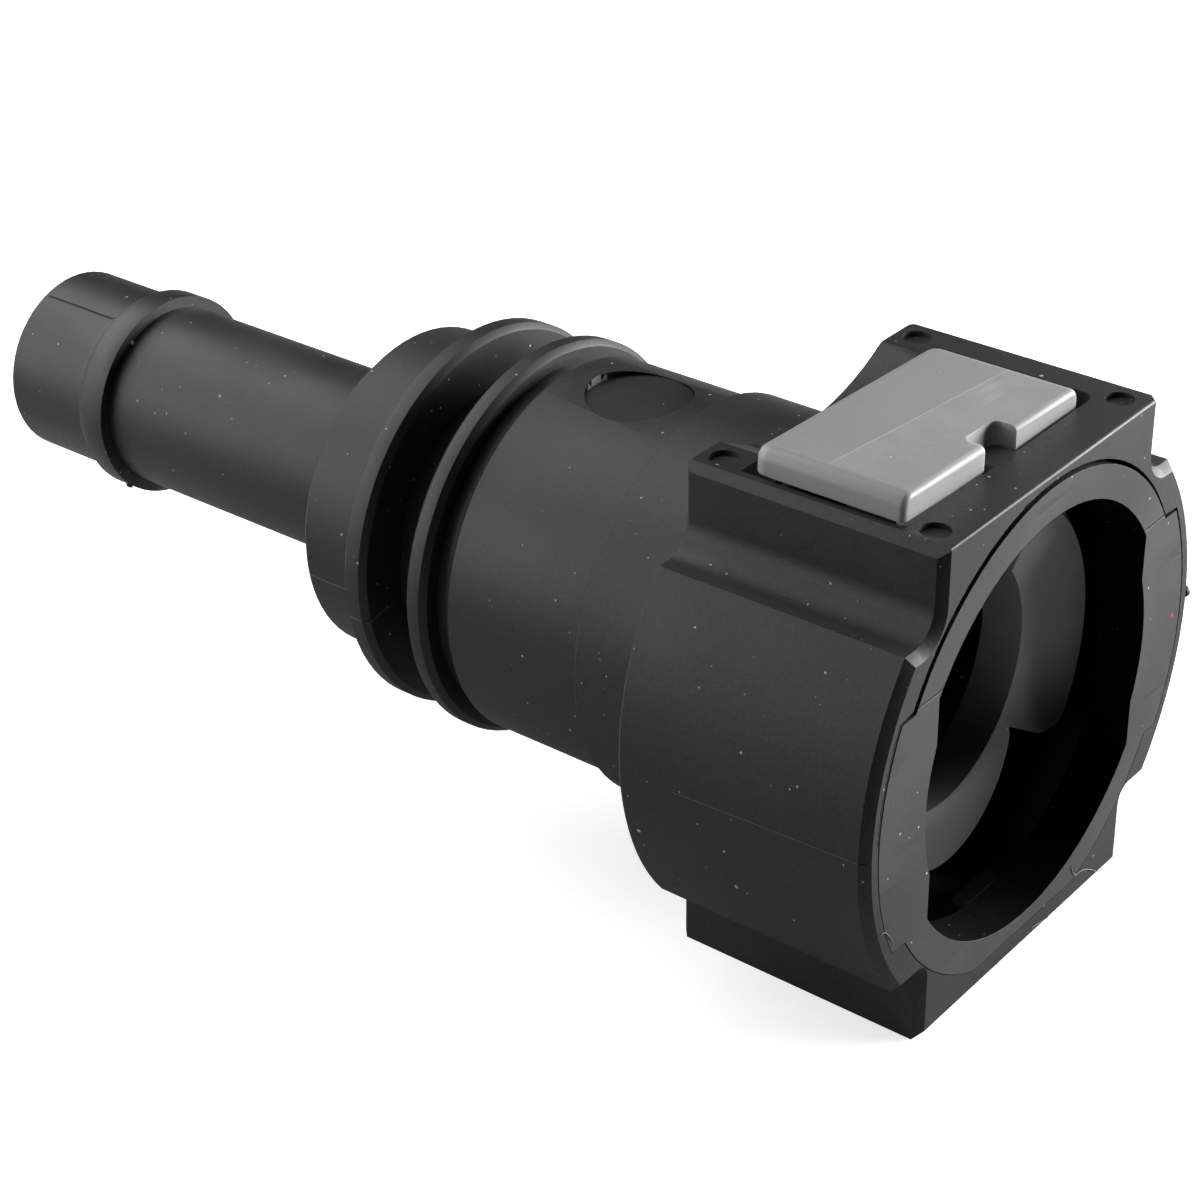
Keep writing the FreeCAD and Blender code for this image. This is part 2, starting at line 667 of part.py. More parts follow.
def make_latch(doc, s):
    """Push button and its sprung ring: two toothed legs joined below the tube."""
    body = new_body(doc, "latch")
    legs = new_sketch(body, "legs", "YZ_Plane", s["latch_back"])
    add_legs(legs, s["leg_radius"], s["leg_top"],
             s["leg_end_outside"], s["leg_end_inside"], s["leg_end_side"])
    add_pad(body, legs, s["latch_depth"])
    level = s["leg_end_outside"].value
    add_round(body, "leg_ends", lambda edge, mid: runs_along_x(edge) and near(mid.z, -level), s["leg_round"])
    add_bevel(body, "leg_front_edges",
              lambda edge, mid: is_hoop(edge, s["latch_front"], s["leg_radius"]), s["leg_bevel"])
    neck = new_sketch(body, "neck", "YZ_Plane", s["latch_back"])
    add_rectangle(neck, -s["neck_half_width"], s["neck_half_width"], s["leg_top"] - ROOT,
                  s["plate_top"] - s["plate_thickness"] / 2)
    add_pad(body, neck, s["neck_depth"])
    arms = new_sketch(body, "lower_arms", "YZ_Plane", s["latch_back"])
    add_circle(arms, NIL, -s["arm_drop"], s["arm_radius"])
    add_pad(body, arms, s["arm_depth"])

    # Button plate, which sits a little to one side and rolled over in its slot
    plate = new_sketch(body, "plate", "YZ_Plane", s["plate_back_gap"])
    add_rectangle(plate, -s["plate_half_width"], s["plate_half_width"],
                  s["plate_thickness"] / -2, s["plate_thickness"] / 2)
    centre_up = s["plate_top"] - s["plate_thickness"] / 2
    plate.AttachmentOffset = FreeCAD.Placement(
        FreeCAD.Vector(-s["plate_shift"].value, centre_up.value, s["plate_back_gap"].value),
        FreeCAD.Rotation(FreeCAD.Vector(0, 0, 1), -s["plate_roll"].value))
    plate.setExpression("AttachmentOffset.Base.x", (-s["plate_shift"]).text)
    plate.setExpression("AttachmentOffset.Base.y", centre_up.text)
    plate.setExpression("AttachmentOffset.Base.z", s["plate_back_gap"].text)
    plate.setExpression("AttachmentOffset.Rotation.Angle", (-s["plate_roll"]).text)
    add_pad(body, plate, s["plate_front"] - s["plate_back_gap"])
    notch = new_sketch(body, "notch", "XY_Plane", s["plate_top"] + OVERRUN)
    notch_left = -s["notch_half_width"] - s["notch_shift"]
    notch_right = s["notch_half_width"] - s["notch_shift"]
    add_rectangle(notch, s["plate_front"] - s["notch_depth"], s["plate_front"] + OVERRUN,
                  notch_left, notch_right)
    add_pocket(body, notch, s["plate_thickness"] + 2 * OVERRUN)

    # Passage for the tube, open upwards so that the button can go down
    passage = new_sketch(body, "passage", "YZ_Plane", s["latch_front"])
    add_circle(passage, NIL, NIL, s["land_radius"])
    add_pocket(body, passage, s["latch_depth"])
    window = new_sketch(body, "neck_window", "YZ_Plane", s["latch_front"])
    inner = s["neck_half_width"] - s["neck_wall"]
    add_rectangle(window, -inner, inner, NIL, s["window_top"])
    add_pocket(body, window, s["latch_depth"])

    # Sloped lead-in on the teeth
    lead_in = new_sketch(body, "lead_in", "XZ_Plane")
    add_polygon(lead_in, [
        (s["latch_front"] - s["lead_in_length"], NIL),
        (s["latch_front"] - s["lead_in_length"], s["land_radius"]),
        (s["latch_front"], s["lead_in_radius"]),
        (s["latch_front"] + OVERRUN, s["lead_in_radius"]),
        (s["latch_front"] + OVERRUN, NIL),
    ])
    add_turn(body, lead_in, cut=True)

    plate_level = s["plate_top"].value - s["plate_thickness"].value - 3 * SLACK
    notch_back = s["plate_front"].value - s["notch_depth"].value
    add_round(body, "notch_corners",
              lambda edge, mid: runs_along_z(edge) and mid.z > plate_level and near(mid.x, notch_back)
              and notch_left.value - SLACK < mid.y < notch_right.value + SLACK, s["notch_corner"])
    add_round(body, "plate_back_corners",
              lambda edge, mid: runs_along_z(edge) and mid.z > plate_level
              and near(mid.x, s["plate_back_gap"].value), s["plate_corner"])
    top = s["plate_top"].value - s["plate_thickness"].value / 2
    front = s["plate_front"].value
    notch_edge = max(-notch_left.value, notch_right.value) + 2 * SLACK
    add_round(body, "plate_top_edges",
              lambda edge, mid: edge.BoundBox.ZMin > top and mid.x < front - SLACK / 10
              and (mid.x < s["notch_depth"].value or abs(mid.y) > notch_edge), s["plate_round"])
    add_round(body, "plate_front_edges",
              lambda edge, mid: mid.z > plate_level and near(mid.x, front)
              and edge.BoundBox.ZMax > top and not near(mid.y, notch_left.value)
              and not near(mid.y, notch_right.value), s["plate_front_round"])
    return body


def turned_ring(doc, name, corners):
    """Ring of revolution about the tube axis through the given corners."""
    body = new_body(doc, name)
    section = new_sketch(body, name + "_section", "XZ_Plane")
    add_polygon(section, corners)
    add_turn(body, section)
    return body


def make_guide_bush(doc, s):
    """Bush that guides the spigot and stops its bead."""
    return turned_ring(doc, "guide_bush", [
        (-s["bush_length"], s["bush_bore"]),
        (NIL, s["bush_bore"]),
        (s["bush_lip"], s["bush_bore"] + s["bush_lip"]),
        (s["bush_lip"], s["insert_radius"]),
        (-s["bush_length"], s["insert_radius"]),
    ])


def make_seal(doc, s, name, station):
    """Sealing ring against the seal bore, its round section drawn with ten flats."""
    centre = s["insert_radius"] - s["seal_section"]
    corners = []
    for step in range(10):
        angle = math.radians(36 * step)
        corners.append((station + s["seal_section"] * math.cos(angle),
                        centre + s["seal_section"] * math.sin(angle)))
    return turned_ring(doc, name, corners)


def make_spacer(doc, s):
    """Plain ring that keeps the two seals apart."""
    bore = s["spigot_radius"] + s["spacer_bore_clearance"]
    return turned_ring(doc, "spacer_ring", [
        (s["spacer_back"], bore),
        (s["spacer_front"], bore),
        (s["spacer_front"], s["insert_radius"]),
        (s["spacer_back"], s["insert_radius"]),
    ])


def main():
    doc = FreeCAD.newDocument("connector")
    s = make_sheet(doc)
    add_derived_sizes(s)

    pieces = [
        make_body(doc, s),
        make_mouth_ring(doc, s),
        make_latch(doc, s),
        make_guide_bush(doc, s),
        make_seal(doc, s, "front_o_ring", s["front_seal"]),
        make_spacer(doc, s),
        make_seal(doc, s, "rear_o_ring", s["rear_seal"]),
    ]
    doc.recompute()

    for item in doc.Objects:
        if "Invalid" in item.State or "Error" in item.State:
            raise ValueError("%s is in state %s" % (item.Name, item.State))
    for piece in pieces:
        shape = piece.Shape
        if shape.isNull() or not shape.isValid() or len(shape.Solids) != 1:
            raise ValueError("%s is not one valid solid" % piece.Label)

    os.makedirs("parts", exist_ok=True)
    for piece in pieces:
        piece.Shape.exportStep("parts/%s.step" % piece.Label)
        box = piece.Shape.BoundBox
        print("%-14s volume %8.2f  x %7.2f %7.2f  y %6.2f %6.2f  z %6.2f %6.2f" % (
            piece.Label, piece.Shape.Volume, box.XMin, box.XMax, box.YMin, box.YMax, box.ZMin, box.ZMax))


main()
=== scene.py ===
"""Push-to-release hose connector, dressed for a studio picture on a pale floor.

The lengths are metres in the frame of the CAD model: +X leaves the mouth along
the tube axis and +Z points to the push button.  Fields that end in _mm hold
millimetres, because that is how the real part is measured.
"""

import logging
import math
from contextlib import contextmanager
from dataclasses import dataclass, field
from enum import Enum
from typing import Callable, Iterator, Optional, Union

import bpy
from mathutils import Matrix, Vector

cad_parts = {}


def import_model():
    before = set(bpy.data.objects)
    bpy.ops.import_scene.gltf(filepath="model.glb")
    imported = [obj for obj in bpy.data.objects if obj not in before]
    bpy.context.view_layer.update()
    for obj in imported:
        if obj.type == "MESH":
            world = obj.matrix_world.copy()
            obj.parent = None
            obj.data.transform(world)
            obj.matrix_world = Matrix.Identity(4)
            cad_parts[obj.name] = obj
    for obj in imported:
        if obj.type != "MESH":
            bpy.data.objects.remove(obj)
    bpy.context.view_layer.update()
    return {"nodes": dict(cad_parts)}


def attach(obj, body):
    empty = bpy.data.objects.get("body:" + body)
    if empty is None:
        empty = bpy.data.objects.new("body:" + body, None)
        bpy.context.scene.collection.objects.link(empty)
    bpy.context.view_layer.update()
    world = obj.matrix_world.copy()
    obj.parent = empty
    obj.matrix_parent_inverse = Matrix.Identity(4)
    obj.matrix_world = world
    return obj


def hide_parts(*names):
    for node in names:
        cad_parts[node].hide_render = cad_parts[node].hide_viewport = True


MM = 0.001
EDGE_MASK = "rounded_edge"
Pair = tuple[float, float]
Triple = tuple[float, float, float]
Colour = tuple[float, float, float, float]
Nodes = dict[str, bpy.types.Object]
Feed = Union[bpy.types.NodeSocket, float, Triple, Colour]
log = logging.getLogger("connector")


class Carrier(Enum):
    """Rigid bodies of the connector that a piece can ride on."""

    HOUSING = "housing"
    BUTTON = "button"


class Slot(Enum):
    """Material slots of the pieces."""

    HOUSING = "housing"
    LATCH = "latch"
    INNER = "inner_plastic"
    SEAL = "seal"


def linear(level: float) -> float:
    """Linear light of a screen level from 0 to 255."""
    share = level / 255
    return share / 12.92 if share <= 0.04045 else ((share + 0.055) / 1.055) ** 2.4


def grey(level: float) -> Colour:
    """Opaque grey of a screen level, in linear light."""
    value = linear(level)
    return (value, value, value, 1.0)


def deselect_all() -> None:
    """Leave edit mode with nothing selected."""
    if bpy.context.object and bpy.context.object.mode != "OBJECT":
        bpy.ops.object.mode_set(mode="OBJECT")
    bpy.ops.object.select_all(action="DESELECT")


def pick(obj: bpy.types.Object) -> None:
    """Make one object the only selected and active one.

    Args:
        obj: the object.
    """
    deselect_all()
    obj.select_set(True)
    bpy.context.view_layer.objects.active = obj


@contextmanager
def editing(obj: bpy.types.Object, kind: str = "VERT") -> Iterator[None]:
    """Edit mode on one object, with everything in it selected at the start.

    Args:
        obj: the mesh object.
        kind: VERT, EDGE or FACE, what the selection counts.

    Yields:
        Nothing; object mode comes back at the end.
    """
    pick(obj)
    bpy.ops.object.mode_set(mode="EDIT")
    bpy.ops.mesh.select_mode(type=kind)
    bpy.ops.mesh.select_all(action="SELECT")
    yield
    bpy.ops.object.mode_set(mode="OBJECT")


def select_faces(obj: bpy.types.Object, test: Callable[[Vector, Vector], bool]) -> int:
    """Select the faces that a test names, from within edit mode.

    Args:
        obj: the mesh object in edit mode.
        test: told a face's middle and normal, says whether it is wanted.

    Returns:
        The number of faces selected.
    """
    bpy.ops.mesh.select_all(action="DESELECT")
    bpy.ops.object.mode_set(mode="OBJECT")
    count = 0
    for face in obj.data.polygons:
        face.select = bool(test(face.center, face.normal))
        count += face.select
    bpy.ops.object.mode_set(mode="EDIT")
    return count


def apply_modifier(obj: bpy.types.Object, kind: str, **settings: object) -> None:
    """Add a modifier with its settings and apply it.

    Args:
        obj: the mesh object that is changed.
        kind: Blender's name for the modifier type.
        settings: attribute values of the modifier.
    """
    pick(obj)
    modifier = obj.modifiers.new(kind.lower(), kind)
    for key, value in settings.items():
        setattr(modifier, key, value)
    bpy.ops.object.modifier_apply(modifier=modifier.name)


def copy_node(nodes: Nodes, node: str, name: str) -> bpy.types.Object:
    """Welded copy of a CAD node with its flat faces joined.

    Args:
        nodes: the CAD nodes by name.
        node: the node to copy.
        name: the new piece's name.

    Returns:
        The new mesh object, at the origin like the node.
    """
    obj = bpy.data.objects.new(name, nodes[node].data.copy())
    bpy.context.scene.collection.objects.link(obj)
    obj.data.materials.clear()
    pick(obj)
    if obj.data.has_custom_normals:
        bpy.ops.mesh.customdata_custom_splitnormals_clear()
    weld_mm, flat_angle = 0.0005, 0.4
    with editing(obj):
        bpy.ops.mesh.remove_doubles(threshold=weld_mm * MM)
        bpy.ops.mesh.dissolve_limited(angle_limit=math.radians(flat_angle))
    return obj


def round_edges(obj: bpy.types.Object, width: float, angle: float) -> None:
    """Round the edges of a mesh and mark the rounded strips for the finishes.

    The mark is 1 on the inside of a strip and 0 along its two borders, so that
    it fades out before the flat faces begin.

    Args:
        obj: the mesh object.
        width: width of the rounding in metres.
        angle: edges sharper than this many degrees are rounded.
    """
    for _ in range(2):
        obj.data.materials.append(None)
    apply_modifier(obj, "BEVEL", width=width, segments=3, limit_method="ANGLE", material=1,
                   angle_limit=math.radians(angle), use_clamp_overlap=True, miter_outer="MITER_ARC")
    mesh = obj.data
    flat = {index for face in mesh.polygons if face.material_index == 0 for index in face.vertices}
    mark = mesh.attributes.new(EDGE_MASK, "FLOAT", "CORNER")
    for face in mesh.polygons:
        for corner in face.loop_indices:
            inside = face.material_index == 1 and mesh.loops[corner].vertex_index not in flat
            mark.data[corner].value = float(inside)
        face.material_index = 0
    mesh.materials.clear()


def smooth(obj: bpy.types.Object, angle: float = 35.0) -> None:
    """Shade a mesh smooth, with its flat faces kept flat.

    Args:
        obj: the mesh object.
        angle: edges sharper than this many degrees stay sharp.
    """
    pick(obj)
    bpy.ops.object.shade_smooth_by_angle(angle=math.radians(angle))
    apply_modifier(obj, "WEIGHTED_NORMAL", mode="FACE_AREA", keep_sharp=True, weight=60)


class Tree:
    """Short calls that add and join the nodes of one shader tree."""

    def __init__(self, tree: bpy.types.ShaderNodeTree) -> None:
        """Keep the tree.

        Args:
            tree: a material's or a group's node tree.
        """
        self.tree = tree

    def add(self, kind: str, feeds: Optional[dict[Union[str, int], Feed]] = None,
            **settings: object) -> bpy.types.Node:
        """Add a node, set it up and feed its inputs.

        Args:
            kind: node type after the ShaderNode prefix.
            feeds: a socket or a constant for each input by name or number.
            settings: attribute values of the node.

        Returns:
            The new node.
        """
        node = self.tree.nodes.new("ShaderNode" + kind)
        for key, value in settings.items():
            setattr(node, key, value)
        for key, value in (feeds or {}).items():
            self.feed(node.inputs[key], value)
        return node

    def feed(self, target: bpy.types.NodeSocket, value: Feed) -> None:
        """Join a socket to an input, or set the input to a constant.

        Args:
            target: the input.
            value: the socket or the constant.
        """
        if isinstance(value, bpy.types.NodeSocket):
            self.tree.links.new(value, target)
        else:
            target.default_value = value

    def math(self, operation: str, first: Feed, second: Feed = 0.0, third: Feed = 0.0,
             clamp: bool = False) -> bpy.types.NodeSocket:
        """Result of one calculation on numbers."""
        node = self.add("Math", {0: first, 1: second, 2: third}, operation=operation, use_clamp=clamp)
        return node.outputs[0]

    def vector(self, operation: str, first: Feed, second: Feed = (0.0, 0.0, 0.0),
               output: Union[int, str] = 0) -> bpy.types.NodeSocket:
        """Result of one calculation on vectors."""
        return self.add("VectorMath", {0: first, 1: second}, operation=operation).outputs[output]

    def ramp(self, value: Feed, start: float, end: float, to_start: float = 0.0,
             to_end: float = 1.0) -> bpy.types.NodeSocket:
        """Number carried smoothly from one range to another and held at its ends."""
        return self.add("MapRange", {0: value, 1: start, 2: end, 3: to_start, 4: to_end},
                        interpolation_type="SMOOTHSTEP").outputs[0]

    def fade(self, value: Feed, span_mm: Pair) -> bpy.types.NodeSocket:
        """Mask that sets in from the first to the second of two positions."""
        return self.ramp(value, span_mm[0] * MM, span_mm[1] * MM)

    def place(self) -> bpy.types.NodeSocket:
        """Place of the shaded point in the piece's own frame, in metres."""
        return self.add("TexCoord").outputs["Object"]

    def axes(self, place: Feed) -> tuple[bpy.types.NodeSocket, ...]:
        """The x, y and z of a place."""
        return tuple(self.add("SeparateXYZ", {0: place}).outputs)

    def blend(self, share: Feed, first: Feed, second: Feed) -> bpy.types.NodeSocket:
        """Colour between two colours.

        Args:
            share: mask that is 0 where the first shows and 1 where the second does.
            first: the first colour.
            second: the second colour.

        Returns:
            The mixed colour.
        """
        node = self.add("Mix", data_type="RGBA", blend_type="MIX", clamp_factor=True)
        factor, first_colour, second_colour, mixed = 0, 6, 7, 2
        self.feed(node.inputs[factor], share)
        self.feed(node.inputs[first_colour], first)
        self.feed(node.inputs[second_colour], second)
        return node.outputs[mixed]


def new_group(name: str, inputs: dict[str, float], outputs: tuple[str, ...],
              ) -> tuple[Tree, bpy.types.Node, bpy.types.Node]:
    """Empty shader node group with number sockets.

    Args:
        name: the group's name.
        inputs: each input's name and usual value.
        outputs: the outputs' names.

    Returns:
        The group's tree, its input node and its output node.
    """
    group = bpy.data.node_groups.new(name, "ShaderNodeTree")
    for key, value in inputs.items():
        group.interface.new_socket(key, in_out="INPUT", socket_type="NodeSocketFloat").default_value = value
    for key in outputs:
        group.interface.new_socket(key, in_out="OUTPUT", socket_type="NodeSocketFloat")
    tree = Tree(group)
    return tree, group.nodes.new("NodeGroupInput"), group.nodes.new("NodeGroupOutput")


class Effects:
    """Surface effects that the finishes share, each one shader node group."""

    def __init__(self) -> None:
        """Build every group once."""
        self.groups = {
            "grain": self._grain(),
            "dust": self._dust(),
            "rubbed": self._rubbed_and_sheen(),
            "scuffs": self._scuffs(),
            "seam": self._seam(),
            "ring_gap": self._ring_gap(),
            "spot": self._spot(),
        }

    def put(self, tree: Tree, effect: str, **values: Feed) -> bpy.types.Node:
        """Place one effect in a tree.

        Args:
            tree: the material's tree.
            effect: the effect's name.
            values: numbers for its inputs, with _ for a blank in their names.

        Returns:
            The group node, whose outputs are masks, tones or heights.
        """
        node = tree.add("Group", node_tree=self.groups[effect])
        for key, value in values.items():
            tree.feed(node.inputs[key.replace("_", " ")], value)
        return node

    @staticmethod
    def _grain() -> bpy.types.ShaderNodeTree:
        """Fine moulded grain with a slow change of tone over it.

        Returns:
            The group's tree.
        """
        tree, given, out = new_group("moulded_grain", {"Fine": 5200.0, "Slow": 140.0},
                                     ("Height", "Tone", "Speckle"))
        place = tree.place()
        finer = 1.7
        speckle_scale = tree.math("MULTIPLY", given.outputs["Fine"], finer)
        fine = tree.add("TexNoise", {"Vector": place, "Scale": given.outputs["Fine"], "Detail": 3.0,
                                     "Roughness": 0.6})
        slow = tree.add("TexNoise", {"Vector": place, "Scale": given.outputs["Slow"], "Detail": 4.0,
                                     "Roughness": 0.55})
        tree.feed(out.inputs["Height"], fine.outputs[0])
        tree.feed(out.inputs["Tone"], tree.ramp(slow.outputs[0], 0.3, 0.7))
        speckle = tree.add("TexNoise", {"Vector": place, "Scale": speckle_scale, "Detail": 2.0})
        tree.feed(out.inputs["Speckle"], tree.ramp(speckle.outputs[0], 0.35, 0.65))
        return tree.tree

    @staticmethod
    def _dust() -> bpy.types.ShaderNodeTree:
        """Scattered round specks, each cell of a lattice holding at most one.

        Returns:
            The group's tree.
        """
        tree, given, out = new_group("dust_specks", {"Scale": 1500.0, "Radius": 0.05, "Share": 0.3},
                                     ("Mask",))
        smallest, largest, core = 0.5, 1.3, 0.5
        cells = tree.add("TexVoronoi", {"Vector": tree.place(), "Scale": given.outputs["Scale"]})
        chance = tree.add("SeparateColor", {0: cells.outputs["Color"]}).outputs
        kept = tree.math("LESS_THAN", chance[0], given.outputs["Share"])
        growth = tree.ramp(chance[1], 0.0, 1.0, smallest, largest)
        inner = tree.math("MULTIPLY", tree.math("MULTIPLY", given.outputs["Radius"], growth), core)
        past = tree.math("SUBTRACT", cells.outputs["Distance"], inner)
        near = tree.math("SUBTRACT", 1.0, tree.math("DIVIDE", past, inner, clamp=True), clamp=True)
        tree.feed(out.inputs["Mask"], tree.math("MULTIPLY", kept, near))
        return tree.tree

    @staticmethod
    def _rubbed_and_sheen() -> bpy.types.ShaderNodeTree:
        """Mask of the rounded edges, where handling polishes and greys plastic, and where the edge tone is
        partly a painted highlight.

        Returns:
            The group's tree.
        """
        tree, given, out = new_group("rubbed_edges_and_sheen", {"Patchy": 900.0, "Least": 0.35}, ("Mask",))
        edge = tree.add("Attribute", attribute_name=EDGE_MASK).outputs["Fac"]
        noise = tree.add("TexNoise", {"Vector": tree.place(), "Scale": given.outputs["Patchy"],
                                      "Detail": 2.0})
        patchy = tree.math("MULTIPLY_ADD", tree.ramp(noise.outputs[0], 0.35, 0.65),
                           tree.math("SUBTRACT", 1.0, given.outputs["Least"]), given.outputs["Least"])
        tree.feed(out.inputs["Mask"], tree.math("MULTIPLY", edge, patchy, clamp=True))
        return tree.tree

    @staticmethod
    def _scuffs() -> bpy.types.ShaderNodeTree:
        """Fine slanted drag marks in thin broken strokes.

        Returns:
            The group's tree.
        """
        slant, stretch, hardness, patch_scale = (0.62, 0.2, 0.0), (1.0, 0.09, 1.0), 9.0, 330.0
        tree, given, out = new_group("fine_scuffs", {"Scale": 900.0, "Share": 0.62}, ("Mask",))
        turned = tree.add("Mapping", {"Vector": tree.place(), "Rotation": slant, "Scale": stretch})
        strokes = tree.add("TexNoise", {"Vector": turned.outputs[0], "Scale": given.outputs["Scale"],
                                        "Detail": 2.0, "Roughness": 0.5})
        patches = tree.add("TexNoise", {"Vector": tree.place(), "Scale": patch_scale, "Detail": 1.0})
        line = tree.ramp(strokes.outputs[0], 0.0, 1.0)
        over = tree.math("SUBTRACT", line, given.outputs["Share"])
        mark = tree.math("MULTIPLY", over, hardness, clamp=True)
        tree.feed(out.inputs["Mask"], tree.math("MULTIPLY", mark, tree.ramp(patches.outputs[0], 0.45, 0.65)))
        return tree.tree

    @staticmethod
    def _seam() -> bpy.types.ShaderNodeTree:
        """Wavering line where a plane meets the surface.

        Returns:
            The group's tree.
        """
        tree, given, out = new_group(
            "parting_seam", {"Along X": 0.0, "Along Y": 0.0, "Along Z": 1.0, "Offset": 0.0,
                             "Width": 0.03 * MM, "Waver": 0.02 * MM}, ("Mask",))
        wave_scale = 1400.0
        place = tree.place()
        normal = tree.add("CombineXYZ", {0: given.outputs["Along X"], 1: given.outputs["Along Y"],
                                         2: given.outputs["Along Z"]}).outputs[0]
        height = tree.vector("DOT_PRODUCT", place, normal, output="Value")
        noise = tree.add("TexNoise", {"Vector": place, "Scale": wave_scale, "Detail": 2.0})
        waver = tree.math("MULTIPLY", tree.math("SUBTRACT", noise.outputs[0], 0.5), given.outputs["Waver"])
        off = tree.math("SUBTRACT", height, given.outputs["Offset"])
        gap = tree.math("ABSOLUTE", tree.math("ADD", off, waver))
        share = tree.math("DIVIDE", gap, given.outputs["Width"], clamp=True)
        tree.feed(out.inputs["Mask"], tree.math("SUBTRACT", 1.0, share, clamp=True))
        return tree.tree

    @staticmethod
    def _ring_gap() -> bpy.types.ShaderNodeTree:
        """Ragged painted shade of a gap along an arc about the tube axis, between two heights.

        Returns:
            The group's tree.
        """
        tree, given, out = new_group("ragged_arc_gap_painted_shade", {
            "Radius": 8.0 * MM, "Width": 0.1 * MM, "Ragged": 0.12 * MM, "Drop": 0.0, "Low": 4.2 * MM,
            "High": 20.0 * MM, "Fade Start": 3.5 * MM, "Fade End": -2.0 * MM}, ("Mask",))
        wave_scale, least = 2300.0, 0.002 * MM
        place = tree.place()
        _, y, z = tree.axes(place)
        level = tree.math("ADD", z, given.outputs["Drop"])
        reach = tree.math("SQRT", tree.math("ADD", tree.math("MULTIPLY", y, y),
                                            tree.math("MULTIPLY", level, level)))
        coarse = tree.add("TexNoise", {"Vector": place, "Scale": wave_scale, "Detail": 3.0,
                                       "Roughness": 0.7})
        wave = tree.math("SUBTRACT", coarse.outputs[0], 0.5)
        wander = tree.math("MULTIPLY", wave, given.outputs["Ragged"])
        off = tree.math("SUBTRACT", reach, given.outputs["Radius"])
        gap = tree.math("ABSOLUTE", tree.math("ADD", off, wander))
        fading = tree.ramp(y, given.outputs["Fade Start"], given.outputs["Fade End"])
        width = tree.math("MULTIPLY", given.outputs["Width"], fading)
        share = tree.math("DIVIDE", gap, tree.math("MAXIMUM", width, least), clamp=True)
        line = tree.ramp(share, 1.0, 0.7)
        between = tree.math("MULTIPLY", tree.math("GREATER_THAN", z, given.outputs["Low"]),
                            tree.math("LESS_THAN", z, given.outputs["High"]))
        tree.feed(out.inputs["Mask"], tree.math("MULTIPLY", line, between, clamp=True))
        return tree.tree

    @staticmethod
    def _spot() -> bpy.types.ShaderNodeTree:
        """Round spot about one point of the surface.

        Returns:
            The group's tree.
        """
        tree, given, out = new_group("spot", {"X": 0.0, "Y": 0.0, "Z": 0.0, "Radius": 0.05 * MM}, ("Mask",))
        centre = tree.add("CombineXYZ", {0: given.outputs["X"], 1: given.outputs["Y"],
                                         2: given.outputs["Z"]}).outputs[0]
        away = tree.vector("DISTANCE", tree.place(), centre, output="Value")
        share = tree.math("DIVIDE", away, given.outputs["Radius"], clamp=True)
        tree.feed(out.inputs["Mask"], tree.ramp(share, 1.0, 0.6))
        return tree.tree


@dataclass(frozen=True)
class Mark:
    """What becomes of the surface where a mask is full.

    Args:
        tint: the colour that it turns to.
        cover: how far it turns to it.
        height: how much it rises, in grain depths.
        matt: the least roughness that it gets.
    """

    tint: Colour
    cover: float = 1.0
    height: float = 0.0
    matt: float = 0.0


@dataclass
class Coat:
    """A finish that is being laid on, one layer over the other.

    Args:
        tree: the material's node tree.
        shader: its Principled shader.
        effects: the shared effect groups.
        colour: the colour so far.
        roughness: the roughness so far.
        height: the height so far, in grain depths.
    """

    tree: Tree
    shader: bpy.types.Node
    effects: Effects
    colour: Feed
    roughness: Feed
    height: Feed

    def effect(self, name: str, **values: Feed) -> bpy.types.NodeSocket:
        """Mask of one shared effect."""
        return self.effects.put(self.tree, name, **values).outputs[0]

    def lay(self, mask: Feed, mark: Mark) -> None:
        """Lay a mark on.

        Args:
            mask: where it is, from 0 to 1.
            mark: what it does there.
        """
        self.colour = self.tree.blend(self.tree.math("MULTIPLY", mask, mark.cover), self.colour, mark.tint)
        if mark.height:
            self.height = self.tree.math("MULTIPLY_ADD", mask, mark.height, self.height)
        if mark.matt:
            least = self.tree.math("MULTIPLY", mask, mark.matt)
            self.roughness = self.tree.math("MAXIMUM", self.roughness, least)

    def roughen(self, mask: Feed, amount: float) -> None:
        """Add roughness within a mask."""
        self.roughness = self.tree.math("MULTIPLY_ADD", mask, amount, self.roughness, clamp=True)


